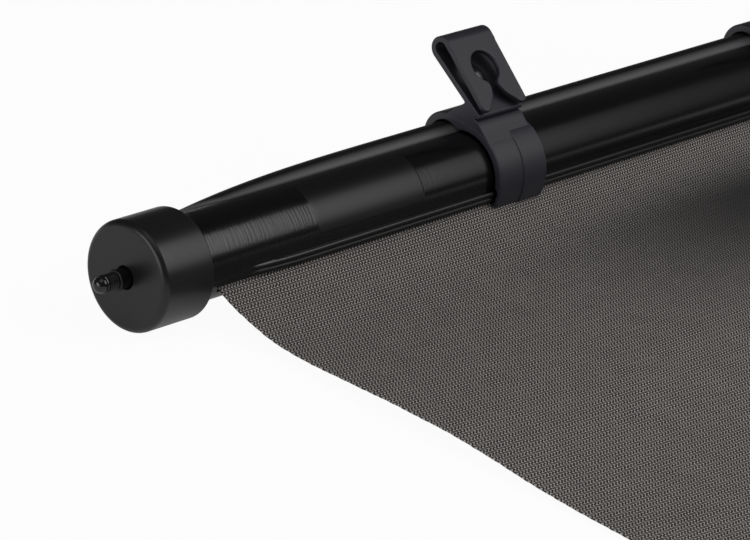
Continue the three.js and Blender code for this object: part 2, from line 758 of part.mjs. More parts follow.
// A low dome on the back plate behind the keyhole.
function hookDome(middle) {
  const ball = (DOME_RADIUS ** 2 + DOME_HEIGHT ** 2) / (2 * DOME_HEIGHT);
  const rise = THREE.MathUtils.radToDeg(Math.asin(DOME_RADIUS / ball));
  const crown = arc(new THREE.Vector2(0, DOME_HEIGHT - ball), ball, 90, 90 - rise, 6);
  const sunk = [new THREE.Vector2(DOME_RADIUS, -DOME_SINK), new THREE.Vector2(0, -DOME_SINK)];
  const profile = [...crown, ...sunk].reverse();
  const geometry = new THREE.LatheGeometry(profile, 28);
  const root = new THREE.Vector2(ROOT_REACH, ROOT_HEIGHT);
  const toFold = foldCentre.clone().sub(root);
  const backAngle = Math.atan2(toFold.y, toFold.x) - Math.asin(FOLD_RADIUS / toFold.length());
  const backUp = new THREE.Vector2(Math.cos(backAngle), Math.sin(backAngle));
  const backIn = new THREE.Vector2(-backUp.y, backUp.x);
  const seat = foldCentre.clone().addScaledVector(backIn, HOOK_WALL - FOLD_RADIUS);
  seat.addScaledVector(backUp, -KEYHOLE_DROP);
  geometry.rotateX(Math.atan2(backIn.y, backIn.x));
  geometry.translate(middle, seat.x, seat.y);
  return toSolid(geometry);
}

function hangerClip() {
  const start = CLIP_PLACE;
  const end = CLIP_PLACE + CLIP_WIDTH;
  const middle = start + HOOK_WIDTH / 2;
  const hook = prism(hookOutline(), start, start + HOOK_WIDTH);
  const plateDome = hookDome(middle);
  const bandSolid = joined(band(start, end, 0), band(start + CLIP_WIDTH / 2, end, CLIP_STEP));
  const railCentre = polar(railDistance, RAIL_ANGLE);
  const cutStart = start - OVERCUT;
  const cutEnd = end + OVERCUT;
  const cutters = [
    rod(cutStart, cutEnd, TUBE_RADIUS + SLIDE_GAP, 0, 0, TUBE_SEGMENTS),
    rod(cutStart, cutEnd, RAIL_RADIUS + SLIDE_GAP, railCentre.x, railCentre.y, 28),
    ...LIP_ANGLES.map((angle) => {
      const centre = polar(TUBE_RADIUS + LIP_RISE, angle);
      return rod(cutStart, cutEnd, LIP_RADIUS + SLIDE_GAP, centre.x, centre.y, 10);
    }),
  ];
  const whole = joined(carved(bandSolid, ...cutters), carved(hook, ...cutters), plateDome);
  return carved(whole, keyholeCutter(middle));
}

// The whole blind
const blind = new THREE.Group();

function add(name, solid, material) {
  const mesh = new THREE.Mesh(toGeometry(solid), material);
  mesh.name = name;
  blind.add(mesh);
}

add('housing_tube', housingTube(), glossBlack);
add('left_end_cap', leftCap(), satinBlack);
add('right_end_cap', rightCap(), satinBlack);
add('left_bearing_cup', bearingCup(), innerBlack);
add('button_stem', buttonStem(), satinBlack);
add('button_tip', buttonTip(), glossBlack);
add('brake_cone', brakeCone(), steel);
add('button_spring', coil(flangeEnd + GAP, bearingStart - GAP, (SHANK_RADIUS + FLANGE_RADIUS) / 2 + 0.1,
  BUTTON_SPRING_WIRE, BUTTON_SPRING_TURNS, 14, 6), steel);
add('brake_ring', brakeRing(), innerBlack);
add('left_roller_plug', leftPlug(), innerBlack);
add('right_roller_plug', rightPlug(), innerBlack);
add('roller_tube', ring(rollerStart, rollerEnd, rollerBore, ROLLER_RADIUS), aluminium);
add('wound_cloth', ring(clothStart + WOUND_INSET, clothEnd - WOUND_INSET, woundInner, woundOuter), meshCloth);
add('spring_arbor', rod(arborStart, arborEnd, ARBOR_RADIUS, 0, 0, 16), steel);
add('arbor_spacer', ring(rightPlugEnd + GAP, LENGTH - CAP_WALL - BOSS_LENGTH - GAP,
  ARBOR_RADIUS + GAP, BOSS_RADIUS), innerBlack);
add('arbor_collar', ring(springEnd + GAP, springEnd + GAP + COLLAR_LENGTH,
  ARBOR_RADIUS + GAP, spigotRadius - GAP), innerBlack);
add('roller_spring', coil(springStart, springEnd, SPRING_RADIUS, SPRING_WIRE, SPRING_TURNS, 10, 5), steel);
add('spring_anchor', rod(anchorEnd - COLLAR_LENGTH, anchorEnd, spigotRadius), innerBlack);
add('shade_cloth', shadeCloth(), meshCloth);
add('pull_bar', pullBar(), glossBlack);
add('hem_rod', rod(barStart + BAR_CAP_LENGTH, barEnd - BAR_CAP_LENGTH, HEM_ROD_RADIUS,
  barCentreY, barCentreZ, 16), aluminium);
add('left_bar_cap', barCap(), satinBlack);
add('right_bar_cap', mirroredAlongX(barCap()), satinBlack);
add('pull_tab', pullTab(), satinBlack);
add('left_hanger_clip', hangerClip(), clipGrey);
add('right_hanger_clip', mirroredAlongX(hangerClip()), clipGrey);

// The origin is the middle of the footprint, on the table.
const box = new THREE.Box3().setFromObject(blind);
const middle = box.getCenter(new THREE.Vector3());
for (const piece of blind.children) {
  piece.position.set(-middle.x, -middle.y, -box.min.z);
}

export default blind;
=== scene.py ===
"""A roller sunshade for a car's side window, on a white table with its mesh cloth pulled out.

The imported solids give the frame. Sizes here are in millimetres from the tube's axis at the left
cap's outer face, with X along the tube, Y away from the cloth and Z up.
"""

import logging
import math
from dataclasses import dataclass, field
from enum import Enum
from functools import partial
from typing import Callable, Sequence

import bmesh
import bpy
import numpy as np
from mathutils import Matrix, Vector


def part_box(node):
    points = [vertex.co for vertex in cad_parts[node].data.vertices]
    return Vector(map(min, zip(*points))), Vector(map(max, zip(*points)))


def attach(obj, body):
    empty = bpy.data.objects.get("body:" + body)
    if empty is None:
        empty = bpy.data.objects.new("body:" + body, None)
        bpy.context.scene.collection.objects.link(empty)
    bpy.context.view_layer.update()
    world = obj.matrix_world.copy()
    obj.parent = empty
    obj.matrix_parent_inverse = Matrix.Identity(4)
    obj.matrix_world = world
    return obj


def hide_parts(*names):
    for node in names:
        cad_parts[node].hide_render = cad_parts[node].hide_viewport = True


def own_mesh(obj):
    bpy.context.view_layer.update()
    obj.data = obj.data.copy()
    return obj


Array = np.ndarray
Face = list[int]
Socket = bpy.types.NodeSocket
Adder = Callable[..., Socket]

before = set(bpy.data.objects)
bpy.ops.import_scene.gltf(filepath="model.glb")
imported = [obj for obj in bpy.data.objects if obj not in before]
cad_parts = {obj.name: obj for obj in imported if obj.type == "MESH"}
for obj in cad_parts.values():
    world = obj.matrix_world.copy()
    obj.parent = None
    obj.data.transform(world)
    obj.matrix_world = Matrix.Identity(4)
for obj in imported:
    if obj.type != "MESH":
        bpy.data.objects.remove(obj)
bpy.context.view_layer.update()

log = logging.getLogger("sunshade")

MM = 0.001
QUARTER = math.pi / 2
FULL_TURN = 2 * math.pi
TINY = 1e-9
MERGE = 1e-6


class Body(Enum):
    """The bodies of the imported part."""

    HOUSING = "housing"
    BUTTON = "release_button"
    ROLLER = "roller"
    BAR = "pull_bar"
    LEFT_CLIP = "left_clip"
    RIGHT_CLIP = "right_clip"


class End(Enum):
    """The two ends of the blind."""

    LEFT = "left"
    RIGHT = "right"


@dataclass(frozen=True)
class Blind:
    """Sizes that the sub-assemblies share, in millimetres and degrees."""

    length: float = 360.0
    gap: float = 0.3
    slide_gap: float = 0.35
    cap_radius: float = 13.0
    cap_length: float = 15.2
    cap_wall: float = 2.5
    tube_radius: float = 10.4
    tube_wall: float = 1.2
    slot_angle: float = 204.0
    slot_width: float = 2.0
    rail_angle: float = 44.0
    rail_radius: float = 4.5
    rail_distance: float = 9.35
    rail_height: float = 3.45
    lip_angles: tuple[float, float] = (186.6, 195.2)
    lip_radius: float = 0.75
    lip_rise: float = 0.25
    cloth_start: float = 20.8
    cloth_thickness: float = 0.4
    bar_y: float = -380.0
    bar_z: float = -9.5
    bar_start: float = 18.3

    @property
    def origin(self) -> Array:
        """The tube's axis at the left cap's outer face, in the row frame, in metres."""
        low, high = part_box("left_end_cap")
        return np.array([low[0], (low[1] + high[1]) / 2, (low[2] + high[2]) / 2])

    def placed(self, points: Array) -> Array:
        """Turns points from the tube's frame in millimetres to the row frame in metres."""
        return np.asarray(points, float) * MM + self.origin


BLIND = Blind()


# Curves and outlines


def polar(radius: float | Array, degrees: float | Array) -> Array:
    """Points at a radius and an angle from +Y towards +Z, as rows of (y, z)."""
    angle = np.radians(degrees)
    return np.stack(np.broadcast_arrays(radius * np.cos(angle), radius * np.sin(angle)), axis=-1)


def arc(centre: Sequence[float], radius: float, start: float, end: float, count: int) -> Array:
    """Points on an arc about a centre, from one angle to another in degrees."""
    return np.asarray(centre, float) + polar(radius, np.linspace(start, end, count))


def smooth_step(value: Array | float) -> Array:
    """The cubic 3t^2 - 2t^3 of a value held between 0 and 1."""
    t = np.clip(value, 0.0, 1.0)
    return t * t * (3.0 - 2.0 * t)


def catmull_rom(points: Array, count: int) -> Array:
    """A uniform Catmull-Rom curve through all the points.

    Between two points it is the cubic whose end tangents are half the chord between the points'
    neighbours.

    Args:
        points: the points to pass through, one per row.
        count: how many points to return.

    Returns:
        The curve's points, evenly spaced in the curve's parameter.
    """
    last = len(points) - 1
    place = np.linspace(0, last, count)
    i = np.minimum(place.astype(int), last - 1)
    t = (place - i)[:, None]
    before, start = points[np.maximum(i - 1, 0)], points[i]
    end, after = points[i + 1], points[np.minimum(i + 2, last)]
    leave, arrive = (end - before) / 2, (after - start) / 2
    cubic = (2 * start - 2 * end + leave + arrive) * t**3
    return cubic + (3 * end - 3 * start - 2 * leave - arrive) * t**2 + leave * t + start


def evenly(path: Array, count: int) -> tuple[Array, Array]:
    """Resamples a path at equal steps of its own length.

    Returns:
        The new points and each one's distance along the path.
    """
    steps = np.linalg.norm(np.diff(path, axis=0), axis=1)
    along = np.concatenate([[0.0], np.cumsum(steps)])
    places = np.linspace(0.0, along[-1], count)
    return np.stack([np.interp(places, along, path[:, k]) for k in (0, 1)], axis=1), places


def path_normals(path: Array) -> Array:
    """Unit normals of an open path, a quarter turn to the left of its direction."""
    along = np.gradient(path, axis=0)
    along /= np.linalg.norm(along, axis=1, keepdims=True)
    return np.stack([-along[:, 1], along[:, 0]], axis=1)


def outline_normals(outline: Array) -> Array:
    """Outward mitre normals of a closed outline that runs anticlockwise.

    Each is the mean of its two edges' normals, lengthened so that moving every point by the
    same amount moves each edge by that amount, up to twice at a sharp corner.
    """
    edge = np.roll(outline, -1, axis=0) - outline
    edge /= np.maximum(np.linalg.norm(edge, axis=1, keepdims=True), TINY)
    out = np.stack([edge[:, 1], -edge[:, 0]], axis=1)
    mean = out + np.roll(out, 1, axis=0)
    square = np.maximum((mean**2).sum(axis=1, keepdims=True), TINY)
    return mean * np.minimum(2.0 / square, 2.0 / np.sqrt(square))


def signed_area(outline: Array) -> float:
    """The area inside a closed outline, positive where it runs anticlockwise."""
    following = np.roll(outline, -1, axis=0)
    return float((outline[:, 0] * following[:, 1] - following[:, 0] * outline[:, 1]).sum() / 2)


def softened(outline: Array, radius: float, sharp: Sequence[int] = (), count: int = 5) -> Array:
    """Rounds the corners of a closed outline that turn by more than 25 degrees.

    A corner is replaced by the parabola that leaves one edge and meets the next at the
    distance where an arc of the radius would touch them, or at 45% of the shorter edge.

    Args:
        outline: the closed outline's points.
        radius: the rounding radius.
        sharp: indices of corners to leave as they are.
        count: points on each rounded corner.
    """
    shortest_share, steepest, least_turn = 0.45, 2.6, math.radians(25)
    before, after = np.roll(outline, 1, axis=0) - outline, np.roll(outline, -1, axis=0) - outline
    near, far = np.linalg.norm(before, axis=1), np.linalg.norm(after, axis=1)
    cosine = (before * after).sum(axis=1) / np.maximum(near * far, TINY)
    turn = math.pi - np.arccos(np.clip(cosine, -1.0, 1.0))
    wanted = radius * np.tan(np.minimum(turn, steepest) / 2)
    reach = np.minimum(wanted, shortest_share * np.minimum(near, far))
    t = np.linspace(0.0, 1.0, count)[None, :, None]
    first = (before / near[:, None] * reach[:, None])[:, None, :]
    second = (after / far[:, None] * reach[:, None])[:, None, :]
    rounded = outline[:, None, :] + (1 - t) ** 2 * first + t**2 * second
    corner = turn > least_turn
    corner[list(sharp)] = False
    keep = np.repeat(corner[:, None], count, axis=1)
    keep[:, count // 2] = True
    rounded[~corner, count // 2] = outline[~corner]
    return rounded[keep]


def rounded_rectangle(width: float, height: float, corner: float, count: int = 9) -> Array:
    """A rectangle about the origin whose four corners are quarter circles."""
    y, z = width / 2 - corner, height / 2 - corner
    centres = ((y, z), (-y, z), (-y, -z), (y, -z))
    quarters = [arc(c, corner, 90 * i, 90 * i + 90, count) for i, c in enumerate(centres)]
    return np.concatenate(quarters)


# Closed surfaces


@dataclass
class Shell:
    """A closed surface: its points in the tube's frame and its faces, which point outwards."""

    points: Array
    faces: list[Face]

    def moved(self, basis: Array, origin: Sequence[float]) -> "Shell":
        """The same surface laid in another frame, whose axes are the rows of basis."""
        return Shell(self.points @ np.asarray(basis, float) + np.asarray(origin, float), self.faces)

    def mirrored(self) -> "Shell":
        """The same surface at the blind's other end, with its faces turned to point outwards."""
        points = self.points * (-1.0, 1.0, 1.0) + (BLIND.length, 0.0, 0.0)
        return Shell(points, [face[::-1] for face in self.faces])


def combined(*shells: Shell) -> Shell:
    """Several surfaces as one."""
    starts = np.cumsum([0] + [len(shell.points) for shell in shells[:-1]])
    pairs = zip(shells, starts)
    faces = [[int(start) + i for i in face] for shell, start in pairs for face in shell.faces]
    return Shell(np.concatenate([shell.points for shell in shells]), faces)


def strip_faces(rows: int, columns: int) -> list[Face]:
    """The quads between rows of points, each row closed on itself."""
    index = np.arange(rows * columns).reshape(rows, columns)
    right = np.roll(index, -1, axis=1)
    quads = np.stack([index[:-1], right[:-1], right[1:], index[1:]], axis=-1)
    return quads.reshape(-1, 4).tolist()


def turned(profile: Array, segments: int = 96) -> Shell:
    """Turns a closed profile about the X axis.

    The point at (s, a) is (x(s), r(s) cos a, r(s) sin a). The profile runs anticlockwise with x
    to the right and the radius up, and points on the axis merge to one.
    """
    angle = np.linspace(0.0, FULL_TURN, segments, endpoint=False)
    x, radius = profile[:, :1], profile[:, 1:]
    ring = np.stack([x + 0 * angle, radius * np.cos(angle), radius * np.sin(angle)], axis=-1)
    closed = ring.transpose(1, 0, 2)
    faces = strip_faces(segments + 1, len(profile))
    count = segments * len(profile)
    faces = [[i % count for i in face] for face in faces]
    return Shell(closed.reshape(-1, 3), faces)


def along_x(x: Array, sections: Array) -> Array:
    """Sections in the Y-Z plane, each set at its own place along X, as (x, y, z)."""
    place = np.broadcast_to(x[:, None, None], sections.shape[:2] + (1,))
    return np.concatenate([place, sections], axis=2)


def slab(
    outline: Array, start: float, end: float, edge: float, steps: int = 4, ladder: bool = False
) -> Shell:
    """Carries an outline in the Y-Z plane along X and rounds the edges of both ends.

    Near an end, at an angle a round the edge, the section lies edge (1 - cos a) in from the end
    and is drawn in by edge (1 - sin a) along the outline's normals.

    Args:
        outline: the anticlockwise outline, seen from +X.
        start: where it begins along X.
        end: where it ends.
        edge: radius of the rounded edges.
        steps: faces round each edge.
        ladder: whether the outline is two runs of equal counts, whose ends are closed by quads
            between the runs, not by one face.
    """
    a = np.linspace(0.0, QUARTER, steps + 1)
    inset = edge * (1 - np.sin(a))
    depth = edge * (1 - np.cos(a))
    x = np.concatenate([start + depth, (end - depth)[::-1]])
    draw = np.concatenate([inset, inset[::-1]])
    flat = outline[None] - draw[:, None, None] * outline_normals(outline)[None]
    points = along_x(x, flat)
    rows, columns = flat.shape[:2]
    if ladder:
        return lofted(points)
    first = list(range(columns))[::-1]
    last = list(range((rows - 1) * columns, rows * columns))
    return Shell(points.reshape(-1, 3), strip_faces(rows, columns) + [first, last])


def lofted(sections: Array) -> Shell:
    """Joins closed sections, each an outer run and then an inner run back, of equal counts.

    The point at (u, v) is point v of section u. Both ends are closed by a ladder of quads
    between the two runs.

    Args:
        sections: points as (stations, points of a section, 3).
    """
    rows, columns = sections.shape[:2]
    step = np.arange(columns // 2 - 1)
    ladder = np.stack([step, step + 1, columns - 2 - step, columns - 1 - step], axis=1)
    first = ladder[:, ::-1].tolist()
    last = (ladder + (rows - 1) * columns).tolist()
    return Shell(sections.reshape(-1, 3), strip_faces(rows, columns) + first + last)


def declared(
    mesh: bpy.types.Mesh,
    body: Body,
    slot: str,
    finish: "Finish",
    replaces: Sequence[str] = (),
    sharp: float = 35.0,
) -> bpy.types.Object:
    """Makes an object of a mesh, smooth but for its sharp edges, and says what it is.

    Args:
        mesh: the mesh, which also gives the piece its name.
        body: the body that it rides on.
        slot: the record's material slot that its finish stands for; not used.
        finish: its finish.
        replaces: the CAD nodes that it stands for.
        sharp: edges that turn by more than this, in degrees, stay sharp.
    """
    mesh.polygons.foreach_set("use_smooth", np.ones(len(mesh.polygons), bool))
    mesh.set_sharp_from_angle(angle=math.radians(sharp))
    mesh.materials.append(finish.material())
    piece = bpy.data.objects.new(mesh.name, mesh)
    bpy.context.collection.objects.link(piece)
    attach(piece, body.value)
    if replaces:
        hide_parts(*replaces)
    log.info("%s: %d faces on %s", mesh.name, len(mesh.polygons), body.value)
    return piece


def as_piece(name: str, shell: Shell, *said: object, sharp: float = 35.0) -> bpy.types.Object:
    """Makes a rigid piece of a surface, with doubled points merged and faces turned outwards.

    Args:
        name: the piece's name.
        shell: its surface.
        said: its body, slot, finish and replaced nodes, as declared takes them.
        sharp: edges that turn by more than this, in degrees, stay sharp.
    """
    mesh = bpy.data.meshes.new(name)
    mesh.from_pydata(BLIND.placed(shell.points), [], shell.faces)
    work = bmesh.new()
    work.from_mesh(mesh)
    bmesh.ops.remove_doubles(work, verts=work.verts, dist=MERGE)
    loose = [edge for edge in work.edges if not edge.link_faces]
    bmesh.ops.delete(work, geom=loose, context="EDGES")
    bmesh.ops.recalc_face_normals(work, faces=work.faces)
    work.to_mesh(mesh)
    work.free()
    piece = declared(mesh, *said, sharp=sharp)
    weighted = piece.modifiers.new("flat faces stay flat", "WEIGHTED_NORMAL")
    weighted.keep_sharp = True
    return piece


# Materials


def linear(colour: str) -> tuple[float, float, float, float]:
    """Turns an sRGB hex colour to linear light."""
    value = np.array([int(colour[i : i + 2], 16) for i in (1, 3, 5)]) / 255
    low = value / 12.92
    high = ((value + 0.055) / 1.055) ** 2.4
    red, green, blue = np.where(value <= 0.04045, low, high)
    return (float(red), float(green), float(blue), 1.0)


def add_node(
    tree: bpy.types.NodeTree, kind: str, inputs: dict | None = None, output: int | str = 0, **settings
) -> Socket:
    """Adds a node with its settings, and sets or links its inputs.

    Args:
        tree: the node tree.
        kind: the node's type, without its prefix.
        inputs: values or output sockets, by input name or number.
        output: the name or number of the output to return.
        settings: the node's own properties.

    Returns:
        The named output of the new node.
    """
    node = tree.nodes.new("ShaderNode" + kind)
    for key, value in settings.items():
        setattr(node, key, value)
    for key, value in (inputs or {}).items():
        if isinstance(value, Socket):
            tree.links.new(value, node.inputs[key])
        else:
            node.inputs[key].default_value = value
    return node.outputs[output]


@dataclass(frozen=True)
class Finish:
    """A plain finish: its name, colour and shader values, and how its pattern is laid on."""

    name: str
    colour: str
    roughness: float
    ior: float = 1.5
    metallic: float = 0.0

    def material(self) -> bpy.types.Material:
        """The finish's material, made at its first use."""
        made = bpy.data.materials.get(self.name)
        if made:
            return made
        made = bpy.data.materials.new(self.name)
        made.use_nodes = True
        tree = made.node_tree
        shader = tree.nodes["Principled BSDF"]
        shader.inputs["Base Color"].default_value = linear(self.colour)
        shader.inputs["Roughness"].default_value = self.roughness
        shader.inputs["Metallic"].default_value = self.metallic
        if not self.metallic:
            shader.inputs["IOR"].default_value = self.ior
        for key, socket in self.pattern(partial(add_node, tree)).items():
            tree.links.new(socket, shader.inputs[key])
        return made

    def pattern(self, add: Adder) -> dict[str, Socket]:
        """The finish's own pattern, made with add: a socket for each shader input it drives."""
        return {}


@dataclass(frozen=True)
class MouldedPlastic(Finish):
    """Injection moulded plastic whose mould was spark eroded: an even, very fine grain."""

    grain: float = 0.35
    depth: float = 0.006
    light: str = "#2a2a2c"
    flow: float = 9.0
    swing: float = 0.05

    def pattern(self, add: Adder) -> dict[str, Socket]:
        """The grain is a noise of one cell per grain width, as a bump; wide soft patches of flow
        change the tone and the gloss a little."""
        place = add("TexCoord", output="Object")
        grain = add("TexNoise", {"Vector": place, "Scale": 1 / (self.grain * MM), "Detail": 2.0})
        flow = add("TexNoise", {"Vector": place, "Scale": 1 / (self.flow * MM), "Detail": 3.0})
        low, high = self.roughness - self.swing, self.roughness + self.swing
        tones = {0: flow, 6: linear(self.colour), 7: linear(self.light)}
        return {
            "Normal": add("Bump", {"Height": grain, "Distance": self.depth * MM, "Strength": 1.0}),
            "Base Color": add("Mix", tones, output=2, data_type="RGBA"),
            "Roughness": add("MapRange", {"Value": flow, "To Min": low, "To Max": high}),
        }


@dataclass(frozen=True)
class PaintedTube(Finish):
    """Gloss black paint on an extruded tube that was ground round its girth near the end, so it
    mirrors the lamps sharply, but for fine rings by the cap and duller places that the polishing
    wheel missed. A lighter colour along the crease under the rail is a painted highlight.
    Lengths are in mm and angles in degrees, but for rail_start, which is in
    radians."""

    streak: float = 0.55
    stretch: float = 0.06
    depth: float = 0.06
    fade: tuple[float, float] = (52.0, 110.0)
    faded: float = 0.12
    dust_size: float = 6.0
    swing: float = 0.03
    soft: float = 5.0
    rail_end: float = 71.0
    rail_start: tuple[float, float] = (-1.0, -0.8)
    lip_zone: tuple[float, float] = (-178.0, -159.0)
    drawn_roughness: float = 0.48
    # Painted highlight: the lighter colour laid along the crease under the rail.
    dust_and_sheen: str = "#59595b"
    crease_angles: tuple[float, float] = (50.0, 68.5)
    crease_rise: tuple[float, float] = (15.0, 34.0)
    crease_spread: float = 8.5

    def pattern(self, add: Adder) -> dict[str, Socket]:
        """The grinding marks are a noise stretched round the tube, so that they lie across it,
        and they fade out away from the left cap."""
        place = add("TexCoord", output="Object")
        parts = add("SeparateXYZ", {"Vector": place}).node.outputs
        squeezed = add("Mapping", {"Vector": place, "Scale": (1.0, self.stretch, self.stretch)})
        marks = add("TexNoise", {"Vector": squeezed, "Scale": 1 / (self.streak * MM), "Detail": 3.0})
        start, end = (BLIND.origin[0] + x * MM for x in self.fade)
        share = add("MapRange", {
            "Value": parts["X"], "From Min": start, "From Max": end, "To Min": 1.0, "To Max": self.faded,
        })
        height = add("Math", {0: marks, 1: share}, operation="MULTIPLY")
        dust_and_sheen = add("TexNoise", {"Vector": place, "Scale": 1 / (self.dust_size * MM), "Detail": 4.0})
        low, high = self.roughness - self.swing, self.roughness + self.swing
        gloss = add("MapRange", {"Value": dust_and_sheen, "To Min": low, "To Max": high})
        angle = self.angle(add, parts)
        zones = {0: self.drawn_zone(add, angle), 2: gloss, 3: self.drawn_roughness}
        # The crease's painted highlight mixes the lighter colour into the black paint.
        tones = {0: self.crease_painted_highlight(add, parts, angle), 6: linear(self.colour), 7: linear(self.dust_and_sheen)}
        return {
            "Normal": add("Bump", {"Height": height, "Distance": self.depth * MM, "Strength": 1.0}),
            "Roughness": add("Mix", zones, data_type="FLOAT"),
            "Base Color": add("Mix", tones, output=2, data_type="RGBA"),
        }

    def angle(self, add: Adder, parts: dict[str, Socket]) -> Socket:
        """The angle about the tube's axis, from +Y towards +Z."""
        y = add("Math", {0: parts["Y"], 1: BLIND.origin[1]}, operation="SUBTRACT")
        z = add("Math", {0: parts["Z"], 1: BLIND.origin[2]}, operation="SUBTRACT")
        return add("Math", {0: z, 1: y}, operation="ARCTAN2")

    def crease_painted_highlight(self, add: Adder, parts: dict[str, Socket], angle: Socket) -> Socket:
        """A painted highlight: a lighter colour along the crease between the tube and its rail,
        where the crease would catch the lamps. The crease's angle grows away from each cap, as the
        rail rises."""
        half = BLIND.length / 2 * MM
        off = add("Math", {0: parts["X"], 1: BLIND.origin[0] + half}, operation="SUBTRACT")
        off = add("Math", {0: off}, operation="ABSOLUTE")
        start, end = (half - rise * MM for rise in self.crease_rise)
        low, high = (math.radians(value) for value in self.crease_angles)
        centre = add("MapRange", {
            "Value": off, "From Min": start, "From Max": end, "To Min": low, "To Max": high,
        })
        away = add("Math", {0: angle, 1: centre}, operation="SUBTRACT")
        away = add("Math", {0: away}, operation="ABSOLUTE")
        spread = {"Value": away, "From Min": math.radians(self.crease_spread), "From Max": 0.0}
        return add("MapRange", spread, interpolation_type="SMOOTHSTEP")

    def drawn_zone(self, add: Adder, angle: Socket) -> Socket:
        """1 on the rail and the lip, which the polishing wheel misses. Each is a band of angles
        about the tube's axis, the product of one soft step up and one down."""
        edge, soft = math.radians(self.rail_end), math.radians(self.soft)
        low, high = (math.radians(value) for value in self.lip_zone)
        rail = (self.rail_start, (edge + soft, edge - soft))
        lip = ((low, low + soft), (high, high - soft))
        bands = []
        for steps in (rail, lip):
            up, down = (
                add("MapRange", {"Value": angle, "From Min": start, "From Max": end},
                    interpolation_type="SMOOTHSTEP")
                for start, end in steps
            )
            bands.append(add("Math", {0: up, 1: down}, operation="MULTIPLY"))
        return add("Math", {0: bands[0], 1: bands[1]}, operation="MAXIMUM")


@dataclass(frozen=True)
class LabelFilm(Finish):
    """Clear matt polyester film stuck over the black paint, which shows through it: a softer
    gloss than the paint's, with faint ripples."""

    ripple: float = 5.0
    depth: float = 0.01

    def pattern(self, add: Adder) -> dict[str, Socket]:
        """Wide shallow ripples of the glue under the film, as a bump."""
        place = add("TexCoord", output="Object")
        ripple = add("TexNoise", {"Vector": place, "Scale": 1 / (self.ripple * MM), "Detail": 1.0})
        return {"Normal": add("Bump", {"Height": ripple, "Distance": self.depth * MM, "Strength": 1.0})}


@dataclass(frozen=True)
class DrawnMetal(Finish):
    """Drawn metal, with fine lines along the way it was drawn."""

    line: float = 0.15
    stretch: float = 0.04
    swing: tuple[float, float] = (-0.08, 0.1)

    def pattern(self, add: Adder) -> dict[str, Socket]:
        """The lines are a noise stretched along X, in roughness."""
        place = add("TexCoord", output="Object")
        drawn = add("Mapping", {"Vector": place, "Scale": (self.stretch, 1.0, 1.0)})
        lines = add("TexNoise", {"Vector": drawn, "Scale": 1 / (self.line * MM), "Detail": 2.0})
        low, high = (self.roughness + swing for swing in self.swing)
        return {"Roughness": add("MapRange", {"Value": lines, "To Min": low, "To Max": high})}


